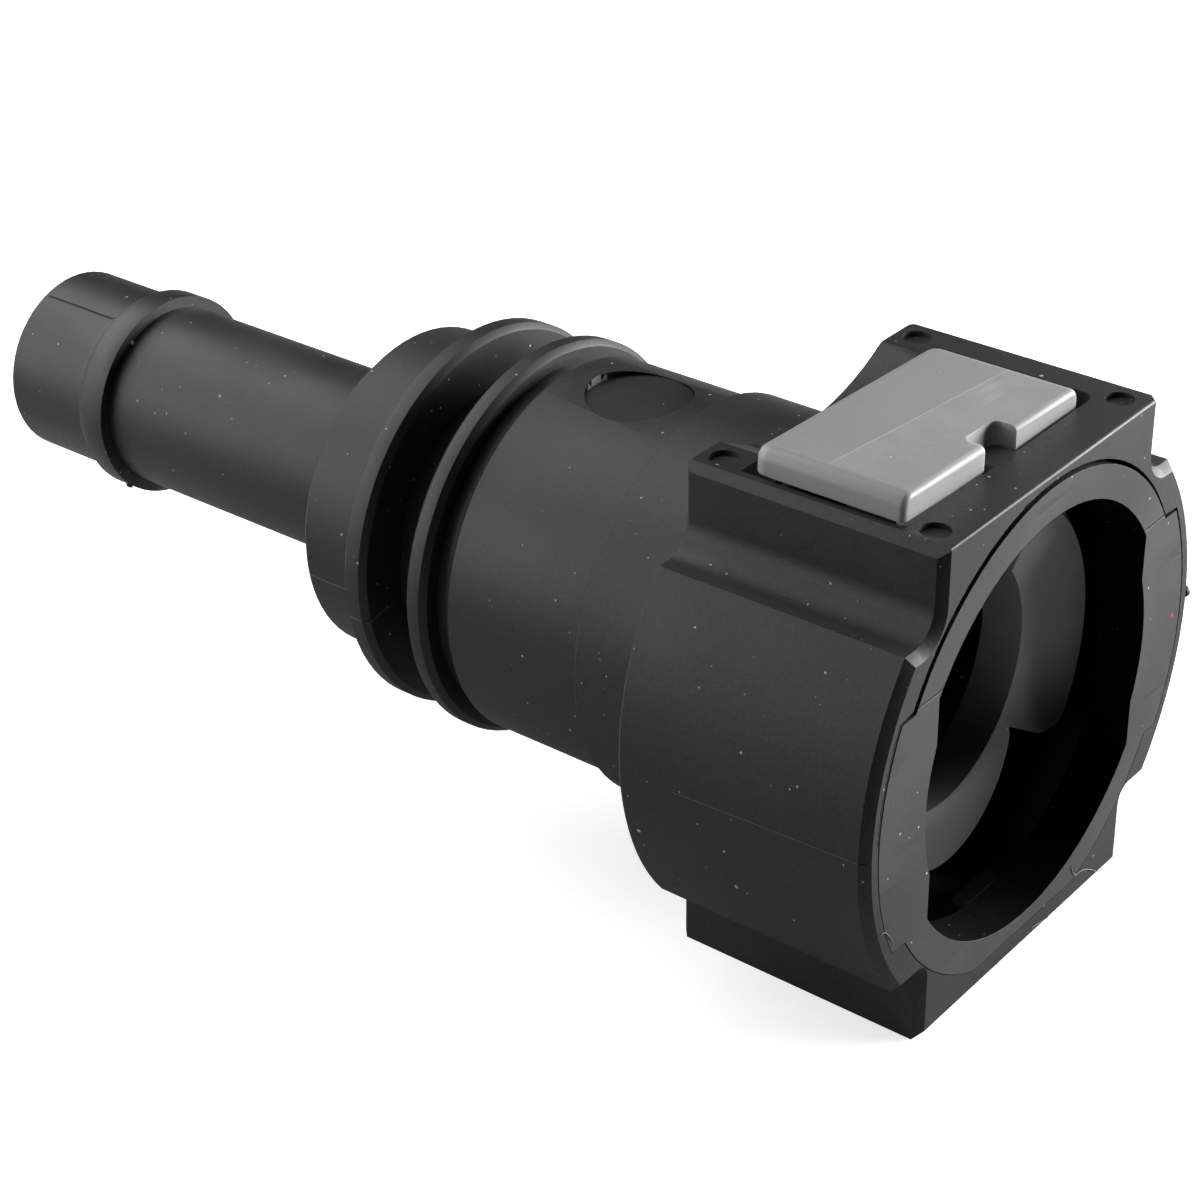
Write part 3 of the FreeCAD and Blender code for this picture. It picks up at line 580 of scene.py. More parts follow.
@dataclass(frozen=True)
class Finish:
    """What every finish has: a tone, a gloss, a grain, rubbed edges whose tone is partly a painted
    highlight, and dust.

    Args:
        name: the material's name.
        level: screen level of the clean surface, from 0 to 255 like every level.
        patchiness: share by which the level wanders to either side.
        roughness: mean roughness.
        rough_change: how far the roughness wanders from end to end.
        specular: strength of the reflections.
        grain_mm: size of the moulded grain.
        grain_depth_mm: its depth.
        dust_level: level of the dust.
        dust_share: share of the cells that hold a fine speck.
        dust_mm: radius of a fine speck.
        dust_cell_mm: size of the cells for the fine specks.
        lump_share: share of the cells that hold a large speck.
        lump_growth: how much larger than the fine ones the large specks are.
        lump_cell_mm: size of the cells for the large specks.
        dust_cover: how far a speck hides the colour under it.
        dust_height: height of a speck in grain depths.
        rubbed_sheen_level: level that the rubbed edges turn to, from wear and partly as a painted edge
            highlight.
        rubbed_sheen_cover: how far they turn to it.
        rubbed_mm: size of the patches along the edges.
        edge_roughness: roughness that the rubbing adds.
        patch_scale: how often the slow change of tone turns along a metre.
    """

    name: str
    level: float = 34.0
    patchiness: float = 0.22
    roughness: float = 0.5
    rough_change: float = 0.1
    specular: float = 0.5
    grain_mm: float = 0.19
    grain_depth_mm: float = 0.007
    dust_level: float = 205.0
    dust_share: float = 0.75
    dust_mm: float = 0.042
    dust_cell_mm: float = 0.5
    lump_share: float = 0.6
    lump_growth: float = 1.7
    lump_cell_mm: float = 1.7
    dust_cover: float = 0.8
    dust_height: float = 3.0
    rubbed_sheen_level: float = 46.0
    rubbed_sheen_cover: float = 0.4
    rubbed_mm: float = 1.1
    edge_roughness: float = 0.5
    patch_scale: float = 150.0

    def build(self, effects: Effects) -> bpy.types.Material:
        """Lay the finish on, from the clean surface to the last mark.

        Args:
            effects: the shared effect groups.

        Returns:
            The material.
        """
        material = bpy.data.materials.new(self.name)
        material.use_nodes = True
        tree = Tree(material.node_tree)
        shader = material.node_tree.nodes["Principled BSDF"]
        shader.inputs["Specular IOR Level"].default_value = self.specular
        grain = effects.put(tree, "grain", Fine=1 / (self.grain_mm * MM), Slow=self.patch_scale)
        tone = tree.math("ADD", tree.math("MULTIPLY", grain.outputs["Tone"], 0.5),
                         tree.math("MULTIPLY", grain.outputs["Speckle"], 0.5))
        colour = tree.blend(tone, grey(self.level * (1 - self.patchiness)),
                            grey(self.level * (1 + self.patchiness)))
        roughness = tree.math("MULTIPLY_ADD", grain.outputs["Tone"], self.rough_change,
                              self.roughness - self.rough_change / 2)
        coat = Coat(tree, shader, effects, colour, roughness, grain.outputs["Height"])
        self.wear(coat)
        self.dress(coat)
        bump = tree.add("Bump", {"Strength": 1.0, "Distance": self.grain_depth_mm * MM,
                                 "Height": coat.height})
        tree.feed(shader.inputs["Base Color"], coat.colour)
        tree.feed(shader.inputs["Roughness"], coat.roughness)
        tree.feed(shader.inputs["Normal"], bump.outputs[0])
        return material

    def wear(self, coat: Coat) -> None:
        """Rub the edges, whose tone is partly a painted highlight, and scatter the dust.

        Args:
            coat: the finish so far.
        """
        rubbed = coat.effect("rubbed", Patchy=1 / (self.rubbed_mm * MM))
        # Edge tone: wear, and on the dark finishes partly a painted highlight.
        coat.lay(rubbed, Mark(grey(self.rubbed_sheen_level), self.rubbed_sheen_cover))
        coat.roughen(rubbed, self.edge_roughness)
        fine = coat.effect("dust", Scale=1 / (self.dust_cell_mm * MM), Share=self.dust_share,
                           Radius=self.dust_mm / self.dust_cell_mm)
        large = coat.effect("dust", Scale=1 / (self.lump_cell_mm * MM), Share=self.lump_share,
                            Radius=self.lump_growth * self.dust_mm / self.lump_cell_mm)
        coat.lay(coat.tree.math("MAXIMUM", fine, large),
                 Mark(grey(self.dust_level), self.dust_cover, self.dust_height, matt=1.0))

    def dress(self, coat: Coat) -> None:
        """Lay nothing more on: a plain finish has no marks of its own."""


@dataclass(frozen=True)
class Seam:
    """Line that the mould leaves on one stretch of a piece.

    Args:
        normal: direction across the line.
        offset_mm: distance of its plane from the origin along the normal.
        across: direction that points to the side with the line.
        stretch_mm: stations that it runs between.
        width_mm: its width to either side.
        waver: how far it wanders, in widths.
    """

    normal: Triple
    offset_mm: float
    across: Triple = (0.0, 0.0, 1.0)
    stretch_mm: Pair = (-40.0, 10.0)
    width_mm: float = 0.05
    waver: float = 0.6

    def mask(self, coat: Coat) -> bpy.types.NodeSocket:
        """Mask of the line.

        Args:
            coat: the finish that it is laid on.

        Returns:
            The mask.
        """
        x, y, z = self.normal
        width = self.width_mm * MM
        line = coat.effect("seam", Along_X=x, Along_Y=y, Along_Z=z, Offset=self.offset_mm * MM, Width=width,
                           Waver=self.waver * width)
        tree = coat.tree
        place = tree.place()
        station = tree.axes(place)[0]
        within = tree.math("MULTIPLY", tree.math("GREATER_THAN", station, self.stretch_mm[0] * MM),
                           tree.math("LESS_THAN", station, self.stretch_mm[1] * MM))
        side = tree.math("GREATER_THAN", tree.vector("DOT_PRODUCT", place, self.across, output="Value"), 0.0)
        return tree.math("MULTIPLY", line, tree.math("MULTIPLY", within, side))


@dataclass(frozen=True)
class Speck:
    """Round speck or pit at a known place.

    Args:
        place_mm: its middle.
        radius_mm: its radius.
    """

    place_mm: Triple
    radius_mm: float = 0.09

    def mask(self, coat: Coat) -> bpy.types.NodeSocket:
        """Mask of the speck."""
        x, y, z = (along * MM for along in self.place_mm)
        return coat.effect("spot", X=x, Y=y, Z=z, Radius=self.radius_mm * MM)


@dataclass(frozen=True)
class ShadedArcGap:
    """Gap along an arc round the mouth ring, painted near black as the shade inside it.

    Args:
        radius_mm: radius of the arc.
        width_mm: width of the gap to either side.
        ragged_mm: how far its edge wanders.
        span_mm: heights that it runs between.
        drop_mm: how far below the tube axis its centre is.
        fade_mm: side positions between which it opens, from the right to the left.
    """

    radius_mm: float
    width_mm: float
    ragged_mm: float
    span_mm: Pair = (4.2, 20.0)
    drop_mm: float = 0.0
    fade_mm: Pair = (3.5, -2.0)

    def mask(self, coat: Coat) -> bpy.types.NodeSocket:
        """Mask of the gap.

        Args:
            coat: the finish that it is laid on.

        Returns:
            The mask.
        """
        low, high = (height * MM for height in self.span_mm)
        shut, opened = (side * MM for side in self.fade_mm)
        return coat.effect("ring_gap", Radius=self.radius_mm * MM, Width=self.width_mm * MM,
                           Ragged=self.ragged_mm * MM, Drop=self.drop_mm * MM, Low=low, High=high,
                           Fade_Start=shut, Fade_End=opened)


@dataclass(frozen=True)
class HousingPlastic(Finish):
    """Black glass-filled plastic of the housing, with its seams and painted shade in the gap round the ring.

    Args:
        seams: the parting lines of the hose tail, the collar and the cheek.
        seam_mark: what they look like.
        gaps: the gaps over the mouth ring and beside its ear.
        gap_shade_mark: the painted shade in them: near black, sunk and matt.
        speck: a red speck on the cheek.
        speck_mark: what it looks like.
    """

    name: str = "housing_plastic"
    seams: tuple[Seam, ...] = (
        Seam((0.0, 0.918, 0.397), 0.0, (0.0, -0.397, 0.918), (-34.6, -30.9), 0.06),
        Seam((0.0, 0.17, -0.985), 0.0, (0.0, -1.0, 0.0), (-19.0, -12.5)),
        Seam((-0.035, 0.0, 1.0), -0.35, (0.0, -1.0, 0.0), (0.2, 6.9), 0.03),
    )
    seam_mark: Mark = Mark(grey(20.0), 0.5, height=6.0)
    gaps: tuple[ShadedArcGap, ...] = (
        ShadedArcGap(8.16, 0.2, 0.3, drop_mm=0.06, fade_mm=(3.4, -3.0)),
        ShadedArcGap(8.72, 0.13, 0.12, span_mm=(0.3, 3.9)),
    )
    gap_shade_mark: Mark = Mark(grey(2.0), height=-14.0, matt=1.0)
    speck: Speck = Speck((6.7, -8.75, -3.58))
    speck_mark: Mark = Mark((0.5, 0.06, 0.12, 1.0))

    def dress(self, coat: Coat) -> None:
        """Lay on the parting lines, the painted shade in the gaps and the speck.

        Args:
            coat: the finish so far.
        """
        for seam in self.seams:
            coat.lay(seam.mask(coat), self.seam_mark)
        for gap in self.gaps:
            # Painted shade: the gaps round the ring are painted near black.
            coat.lay(gap.mask(coat), self.gap_shade_mark)
        coat.lay(self.speck.mask(coat), self.speck_mark)


@dataclass(frozen=True)
class RingPlastic(Finish):
    """Plastic of the mouth ring, smoother than the housing and marked by slanted scuffs.

    Args:
        scuff_scale: how often the scuffs turn along a metre.
        scuff_share: threshold over which they show.
        scuff_mark: what they look like.
        witness: the line that the mould leaves over the ears.
        pit: the pit at its right end.
        witness_mark: what both look like.
        speck: a red speck on the right ear.
        speck_mark: what it looks like.
    """

    name: str = "ring_plastic"
    level: float = 55.0
    roughness: float = 0.46
    grain_mm: float = 0.14
    grain_depth_mm: float = 0.0025
    scuff_scale: float = 1300.0
    scuff_share: float = 0.6
    scuff_mark: Mark = Mark(grey(40.0), 0.55, height=-3.0)
    witness: Seam = Seam((0.0, 0.0, 1.0), 3.98, waver=2.4)
    pit: Speck = Speck((7.0, 7.12, 4.06), 0.2)
    witness_mark: Mark = Mark(grey(4.0), height=-24.0, matt=1.0)
    speck: Speck = Speck((7.0, 8.21, -0.18))
    speck_mark: Mark = Mark((0.4, 0.05, 0.08, 1.0))

    def dress(self, coat: Coat) -> None:
        """Lay on the scuffs, the line with its pit and the speck.

        Args:
            coat: the finish so far.
        """
        coat.lay(coat.effect("scuffs", Scale=self.scuff_scale, Share=self.scuff_share), self.scuff_mark)
        coat.lay(coat.tree.math("MAXIMUM", self.witness.mask(coat), self.pit.mask(coat)), self.witness_mark)
        coat.lay(self.speck.mask(coat), self.speck_mark)


@dataclass(frozen=True)
class LatchPlastic(Finish):
    """Grey natural plastic of the latch, with a parting step and mottling in front of it, and painted shade
    on its neck, legs and lower arms.

    Args:
        depth_share: share of the light that enters the plastic.
        depth_mm: how far it gets.
        top_mm: heights between which the marks of the button's top set in.
        side_mm: side positions between which they set in.
        step: the parting step across the top.
        step_mark: what it looks like.
        blotch_scale: how often the blotches in front of it turn along a metre.
        blotch_span: shares of the noise between which they set in.
        blotch_mark: what they look like.
        front_roughness: roughness added in front of the step.
        scratch_scale: how often the scratches there turn along a metre.
        scratch_share: threshold over which they show.
        scratch_mark: what they look like.
        inside_shade_mm: heights between which the flat tone of the neck and legs sets in, a painted shade of
            the inside of the housing.
        inside_painted_shade_mark: that tone: a flat grey a little darker than the top.
        arms_shade_mm: heights between which the painted shade on the lower arms sets in, darker towards the
            bottom.
        arms_painted_shade_mark: that painted shade: dark grey and matt.
    """

    name: str = "latch_plastic"
    level: float = 153.0
    patchiness: float = 0.02
    roughness: float = 0.42
    grain_depth_mm: float = 0.002
    dust_level: float = 215.0
    dust_share: float = 0.18
    rubbed_sheen_level: float = 150.0
    depth_share: float = 0.25
    depth_mm: float = 0.5
    top_mm: Pair = (8.8, 9.0)
    side_mm: Pair = (-5.1, -4.7)
    step: Seam = Seam((1.0, -0.06, 0.0), 2.76)
    step_mark: Mark = Mark(grey(190.0), 0.6, height=4.0)
    blotch_scale: float = 700.0
    blotch_span: Pair = (0.42, 0.62)
    blotch_mark: Mark = Mark(grey(168.0), 0.3)
    front_roughness: float = 0.1
    scratch_scale: float = 1500.0
    scratch_share: float = 0.66
    scratch_mark: Mark = Mark(grey(200.0), 0.5)
    inside_shade_mm: Pair = (7.2, 6.4)
    inside_painted_shade_mark: Mark = Mark(grey(150.0))
    arms_shade_mm: Pair = (0.0, -3.6)
    arms_painted_shade_mark: Mark = Mark(grey(38.0), matt=0.8)

    def dress(self, coat: Coat) -> None:
        """Let light in, mark the button's top and paint shade on the neck, legs and lower arms.

        Args:
            coat: the finish so far.
        """
        tree = coat.tree
        coat.shader.inputs["Subsurface Weight"].default_value = self.depth_share
        coat.shader.inputs["Subsurface Radius"].default_value = (1.0, 1.0, 1.0)
        coat.shader.inputs["Subsurface Scale"].default_value = self.depth_mm * MM
        place = tree.place()
        _, y, z = tree.axes(place)
        on_top = tree.math("MULTIPLY", tree.fade(z, self.top_mm), tree.fade(y, self.side_mm))
        ahead = tree.math("SUBTRACT", tree.vector("DOT_PRODUCT", place, self.step.normal, output="Value"),
                          self.step.offset_mm * MM)
        blend_mm = (-0.03, 0.03)
        front = tree.math("MULTIPLY", tree.fade(ahead, blend_mm), on_top)
        noise = tree.add("TexNoise", {"Vector": place, "Scale": self.blotch_scale, "Detail": 4.0,
                                      "Roughness": 0.65})
        blotches = tree.math("MULTIPLY", front, tree.ramp(noise.outputs[0], *self.blotch_span))
        coat.lay(blotches, self.blotch_mark)
        coat.roughen(front, self.front_roughness)
        coat.lay(tree.math("MULTIPLY", self.step.mask(coat), on_top), self.step_mark)
        scratches = coat.effect("scuffs", Scale=self.scratch_scale, Share=self.scratch_share)
        coat.lay(tree.math("MULTIPLY", scratches, front), self.scratch_mark)
        # Painted shade: the neck and legs inside the housing take a flat grey a little darker than the top.
        coat.lay(tree.fade(z, self.inside_shade_mm), self.inside_painted_shade_mark)
        # Painted shade: the lower arms darken towards the bottom, where the mouth shades them.
        coat.lay(tree.fade(z, self.arms_shade_mm), self.arms_painted_shade_mark)


@dataclass(frozen=True)
class BoreShadePlastic(Finish):
    """Black plastic of the walls inside the mouth, unpolished, matt and spotted with dust, its colour
    darkened as painted shade of the deep mouth.
    """

    name: str = "bore_painted_shade"
    level: float = 9.0
    patchiness: float = 0.4
    roughness: float = 0.8
    specular: float = 0.04
    grain_mm: float = 0.24
    grain_depth_mm: float = 0.012
    dust_level: float = 120.0
    rubbed_sheen_level: float = 24.0


@dataclass(frozen=True)
class InnerPlastic(Finish):
    """Dark grey plastic of the bush and the spacer."""

    name: str = "inner_plastic"
    level: float = 52.0
    roughness: float = 0.4
    dust_share: float = 0.2


@dataclass(frozen=True)
class SealRubber(Finish):
    """Black rubber of the two sealing rings, with a trace of grease."""

    name: str = "seal_rubber"
    level: float = 26.0
    roughness: float = 0.32
    rough_change: float = 0.2
    grain_mm: float = 0.3
    grain_depth_mm: float = 0.0015
    dust_share: float = 0.1
    rubbed_sheen_level: float = 32.0


@dataclass(frozen=True)
class LintThread(Finish):
    """Pale textile fibre."""

    name: str = "lint_thread"
    level: float = 128.0
    roughness: float = 0.8
    grain_mm: float = 0.05
    dust_share: float = 0.0


def hand_in(piece: bpy.types.Object, carrier: Carrier, node: Optional[str] = None) -> None:
    """Hang a new piece on the body that it rides on and hide the CAD node that it replaces.

    Args:
        piece: the new mesh object.
        carrier: the body that it rides on.
        node: the CAD node that it replaces, or nothing.
    """
    if node:
        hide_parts(node)
    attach(piece, carrier.value)
    log.info("%s: %d faces on %s", piece.name, len(piece.data.polygons), carrier.value)


@dataclass
class Moulding:
    """A CAD node redrawn with soft edges.

    Args:
        node: the CAD node.
        carrier: the body that it rides on.
        slot: the material slot; not used.
        edge_mm: width of the rounding along each edge.
        edge_angle: edges sharper than this many degrees are rounded.
    """

    node: str
    carrier: Carrier
    slot: Slot
    edge_mm: float = 0.09
    edge_angle: float = 35.0

    def shape(self, piece: bpy.types.Object) -> None:
        """Change nothing: a plain moulding has the CAD node's own shape."""

    def hidden(self, middle: Vector, normal: Vector) -> bool:
        """Say that no face takes the second finish."""
        return False

    def build(self, nodes: Nodes, material: bpy.types.Material,
              within: Optional[bpy.types.Material] = None) -> bpy.types.Object:
        """Copy, round, shade and dress the moulding.

        Args:
            nodes: the CAD nodes by name.
            material: its finish.
            within: the finish of the faces that hidden names, darkened as painted shade where it is the bore
                finish.

        Returns:
            The new piece.
        """
        piece = copy_node(nodes, self.node, self.node + "_moulding")
        self.shape(piece)
        round_edges(piece, self.edge_mm * MM, self.edge_angle)
        smooth(piece, self.edge_angle)
        piece.data.materials.append(material)
        if within:
            piece.data.materials.append(within)
            for face in piece.data.polygons:
                face.material_index = int(self.hidden(face.center / MM, face.normal))
        hand_in(piece, self.carrier, self.node)
        return piece


@dataclass
class MouthRing(Moulding):
    """The ring in the mouth, whose walls inside take the bore finish, darkened as painted shade.

    Args:
        wall_mm: radius that its inner walls stay within.
        face_mm: station of its front face.
    """

    node: str = "mouth_ring"
    carrier: Carrier = Carrier.HOUSING
    slot: Slot = Slot.HOUSING
    edge_mm: float = 0.07
    wall_mm: float = 7.6
    face_mm: float = 7.0

    def hidden(self, middle: Vector, normal: Vector) -> bool:
        """Say whether a face is a wall or the back of the ring, which take the bore finish of painted shade.
        """
        behind = middle.x < self.face_mm - self.edge_mm
        return behind and (math.hypot(middle.y, middle.z) < self.wall_mm or normal.x < -0.5)


@dataclass
class Latch(Moulding):
    """The latch: button plate, neck, two toothed legs and the lower arms."""

    node: str = "latch"
    carrier: Carrier = Carrier.BUTTON
    slot: Slot = Slot.LATCH
    edge_mm: float = 0.1


@dataclass
class Housing(Moulding):
    """The housing, with its left top edge worn round and its mould marks shallow.

    Args:
        worn_mm: leg of the slope that the worn edge starts from.
        half_width_mm: half the width of the square head.
        top_mm: height of the head's top.
        dimple_lift_mm: how much shallower the dimples are than in the source.
        dimple_floor_mm: height of their floors in the source.
        chamber_mm: radius that the walls of the chamber stay within.
        chamber_ends_mm: stations between which its walls and the bore's are.
        chamber_back_mm: station that the cross walls of the chamber are in front of.
        chamber_span_mm: heights between its floor and its top.
        seat_radius_mm: radius of the arched wall round the mouth ring.
        seat_low_mm: height over which that wall is arched.
        seat_shift_mm: how far the wall sits to the left and up, which opens the gap there.
        mark_ends_mm: stations that the round mark on the barrel lies between.
        mark_span_mm: heights that its floor lies between in the source.
        mark_lift_mm: how much shallower the mark is than in the source.
    """

    node: str = "body"
    carrier: Carrier = Carrier.HOUSING
    slot: Slot = Slot.HOUSING
    worn_mm: float = 0.3
    half_width_mm: float = 5.95
    top_mm: float = 8.47
    dimple_lift_mm: float = 0.19
    dimple_floor_mm: float = 8.12
    chamber_mm: float = 8.0
    chamber_ends_mm: Pair = (-20.0, 6.6)
    chamber_back_mm: float = -1.0
    chamber_span_mm: Pair = (-7.0, 6.0)
    seat_radius_mm: float = 8.09
    seat_low_mm: float = 4.1
    seat_shift_mm: Pair = (0.1, 0.08)
    mark_ends_mm: Pair = (-20.0, 0.0)
    mark_span_mm: Pair = (6.0, 6.2)
    mark_lift_mm: float = 0.1

    def hidden(self, middle: Vector, normal: Vector) -> bool:
        """Say whether a face is a wall of the latch chamber or of the bore behind it, which take the bore
        finish of painted shade.

        Args:
            middle: the face's middle in millimetres.
            normal: its normal.

        Returns:
            True for such a face.
        """
        back, front = self.chamber_ends_mm
        low, high = self.chamber_span_mm
        within = math.hypot(middle.y, middle.z) < self.chamber_mm and back < middle.x < front
        inward = normal.y * middle.y + normal.z * middle.z < -0.1
        cross = abs(normal.x) > 0.9 and middle.x > self.chamber_back_mm and middle.z < high
        floor = normal.z > 0.95 and middle.z < low
        return within and not floor and (inward or cross)

    def shape(self, piece: bpy.types.Object) -> None:
        """Slope the left top edge, raise the floors of the marks and shift the ring's seat.

        Args:
            piece: the copy of the node.
        """
        with editing(piece, "FACE"):
            bpy.ops.mesh.bisect(plane_co=(0.0, (self.worn_mm - self.half_width_mm) * MM, self.top_mm * MM),
                                plane_no=(0.0, -1.0, 1.0), use_fill=True, clear_outer=True)
            floors = select_faces(piece, lambda middle, normal: normal.z > 0.99
                                  and abs(middle.z - self.dimple_floor_mm * MM) < 0.02 * MM)
            bpy.ops.transform.translate(value=(0.0, 0.0, self.dimple_lift_mm * MM))
            marks = select_faces(piece, self.mark_floor)
            bpy.ops.transform.translate(value=(0.0, 0.0, self.mark_lift_mm * MM))
            walls = select_faces(piece, self.seat_wall)
            bpy.ops.transform.translate(value=(0.0, -self.seat_shift_mm[0] * MM, self.seat_shift_mm[1] * MM))
        log.info("housing: %d dimple floors and %d mark floors raised, %d faces of the seat moved",
                 floors, marks, walls)

    def mark_floor(self, middle: Vector, normal: Vector) -> bool:
        """Say whether a face is the floor of the round mark on the barrel.

        Args:
            middle: the face's middle in metres.
            normal: its normal.

        Returns:
            True for such a face.
        """
        back, front = self.mark_ends_mm
        low, high = self.mark_span_mm
        inside = back * MM < middle.x < front * MM and low * MM < middle.z < high * MM
        return normal.z > 0.999 and inside and abs(middle.y) < MM

    def seat_wall(self, middle: Vector, normal: Vector) -> bool:
        """Say whether a face is part of the arched wall that the mouth ring sits in.

        Args:
            middle: the face's middle in metres.
            normal: its normal.

        Returns:
            True for such a face.
        """
        reach = math.hypot(middle.y, middle.z)
        inward = normal.y * middle.y + normal.z * middle.z < -0.5 * reach
        arched = abs(reach / MM - self.seat_radius_mm) < 0.15
        return inward and arched and middle.z > self.seat_low_mm * MM


@dataclass
class SealStack:
    """Bush, spacer and sealing rings, whose CAD shapes are kept."""

    parts: dict[str, Slot] = field(default_factory=lambda: {
        "guide_bush": Slot.INNER, "spacer_ring": Slot.INNER,
        "front_o_ring": Slot.SEAL, "rear_o_ring": Slot.SEAL})

    def build(self, nodes: Nodes, finishes: dict[Slot, bpy.types.Material]) -> None:
        """Dress the nodes in their finishes.

        Args:
            nodes: the CAD nodes by name.
            finishes: the materials by slot.
        """
        for name, slot in self.parts.items():
            node = nodes[name]
            if not node.data.materials:
                node.data.materials.append(finishes[slot])
            for index in range(len(node.data.materials)):
                node.data.materials[index] = finishes[slot]
            log.info("%s: finish %s", name, finishes[slot].name)


@dataclass
class LintFibre:
    """Short fibre that clings to the front face.

    Args:
        name: the piece's name.
        path_mm: points that it passes, from end to end.
        thickness_mm: its diameter.
        crease: degrees up to which it is shaded smooth.
    """

    name: str
    path_mm: tuple[Triple, ...]
    thickness_mm: float = 0.028
    crease: float = 50.0

    def build(self, material: bpy.types.Material) -> bpy.types.Object:
        """Draw the fibre as a curve and turn it into a mesh.

        Args:
            material: its finish.

        Returns:
            The new piece.
        """
        deselect_all()
        bpy.ops.curve.primitive_nurbs_path_add(radius=MM)
        curve = bpy.context.object
        curve.name = self.name
        points = curve.data.splines[0].points
        points.add(max(0, len(self.path_mm) - len(points)))
        steps = len(points) - 1
        for index, point in enumerate(points):
            share = index / steps * (len(self.path_mm) - 1)
            low = min(int(share), len(self.path_mm) - 2)
            spot = Vector(self.path_mm[low]).lerp(Vector(self.path_mm[low + 1]), share - low)
            point.co = (*(spot * MM), 1.0)
        curve.data.bevel_depth = self.thickness_mm / 2 * MM
        curve.data.bevel_resolution = 2
        curve.data.use_fill_caps = True
        curve.data.splines[0].resolution_u = 6
        pick(curve)
        bpy.ops.object.convert(target="MESH")
        piece = bpy.context.object
        piece.data.materials.clear()
        piece.data.materials.append(material)
        smooth(piece, self.crease)
        hand_in(piece, Carrier.HOUSING)
        return piece


@dataclass
class MouldNub:
    """Stub that the mould leaves: a low boss whose top has torn off askew.

    Args:
        name: the piece's name.
        foot_mm: middle of its foot on the surface.
        normal: the way that it stands up.
        radius_mm: radius of the foot.
        height_mm: height of the prism that it starts from.
        shoulder: share of the radius that the torn top stands back.
        slip_mm: how far the torn top is pushed aside.
        rise_mm: how far it is pulled up.
        squash: its shares of length and width that are left.
        buried: share of the height that the prism is lifted from its middle.
        edge_mm: rounding of its edges.
        crease: degrees up to which it is shaded smooth.
    """

    name: str
    foot_mm: Triple
    normal: Triple
    radius_mm: float
    height_mm: float
    shoulder: float = 0.3
    slip_mm: float = 0.03
    rise_mm: float = 0.06
    squash: Pair = (0.8, 0.6)
    buried: float = 0.2
    edge_mm: float = 0.03
    crease: float = 50.0

    def build(self, material: bpy.types.Material) -> bpy.types.Object:
        """Shape the stub from a low prism.

        Args:
            material: its finish.

        Returns:
            The new piece.
        """
        up = Vector(self.normal).normalized()
        centre = Vector(self.foot_mm) * MM
        turn = up.to_track_quat("Z", "Y")
        deselect_all()
        bpy.ops.mesh.primitive_cylinder_add(vertices=12, radius=self.radius_mm * MM,
                                            depth=self.height_mm * MM, location=(0, 0, 0))
        piece = bpy.context.object
        piece.name = self.name
        with editing(piece, "FACE"):
            select_faces(piece, lambda middle, normal: normal.z > 0.9)
            bpy.ops.mesh.inset(thickness=self.radius_mm * self.shoulder * MM)
            bpy.ops.transform.translate(value=(self.slip_mm * MM, 0.0, self.rise_mm * MM))
            bpy.ops.transform.resize(value=(*self.squash, 1.0))
            bpy.ops.mesh.select_all(action="SELECT")
            bpy.ops.transform.translate(value=(0.0, 0.0, self.buried * self.height_mm * MM))
        piece.data.transform(Matrix.Translation(centre) @ turn.to_matrix().to_4x4())
        apply_modifier(piece, "BEVEL", width=self.edge_mm * MM, segments=2, limit_method="ANGLE",
                       angle_limit=math.radians(30))
        smooth(piece, self.crease)
        piece.data.materials.append(material)
        hand_in(piece, Carrier.HOUSING)
        return piece


@dataclass(frozen=True)
class Softbox:
    """Large soft light.

    Args:
        name: its name.
        bearing: compass degrees from +X towards +Y where it stands.
        lift: degrees over the floor.
        power: watts.
        width_mm: width of the light.
        height_mm: its height.
        range_mm: distance from the part.
    """

    name: str
    bearing: float
    lift: float
    power: float
    width_mm: float = 160.0
    height_mm: float = 160.0
    range_mm: float = 200.0

    def build(self, aim: Vector) -> bpy.types.Object:
        """Hang the light, turned to the part.

        Args:
            aim: the point that it faces.

        Returns:
            The light.
        """
        turn, rise = math.radians(self.bearing), math.radians(self.lift)
        way = Vector((math.cos(turn) * math.cos(rise), math.sin(turn) * math.cos(rise), math.sin(rise)))
        data = bpy.data.lights.new(self.name, "AREA")
        data.shape = "RECTANGLE"
        data.size = self.width_mm * MM
        data.size_y = self.height_mm * MM
        data.energy = self.power
        lamp = bpy.data.objects.new(self.name, data)
        bpy.context.scene.collection.objects.link(lamp)
        lamp.location = aim + way * self.range_mm * MM
        lamp.rotation_euler = (-way).to_track_quat("-Z", "Y").to_euler()
        return lamp


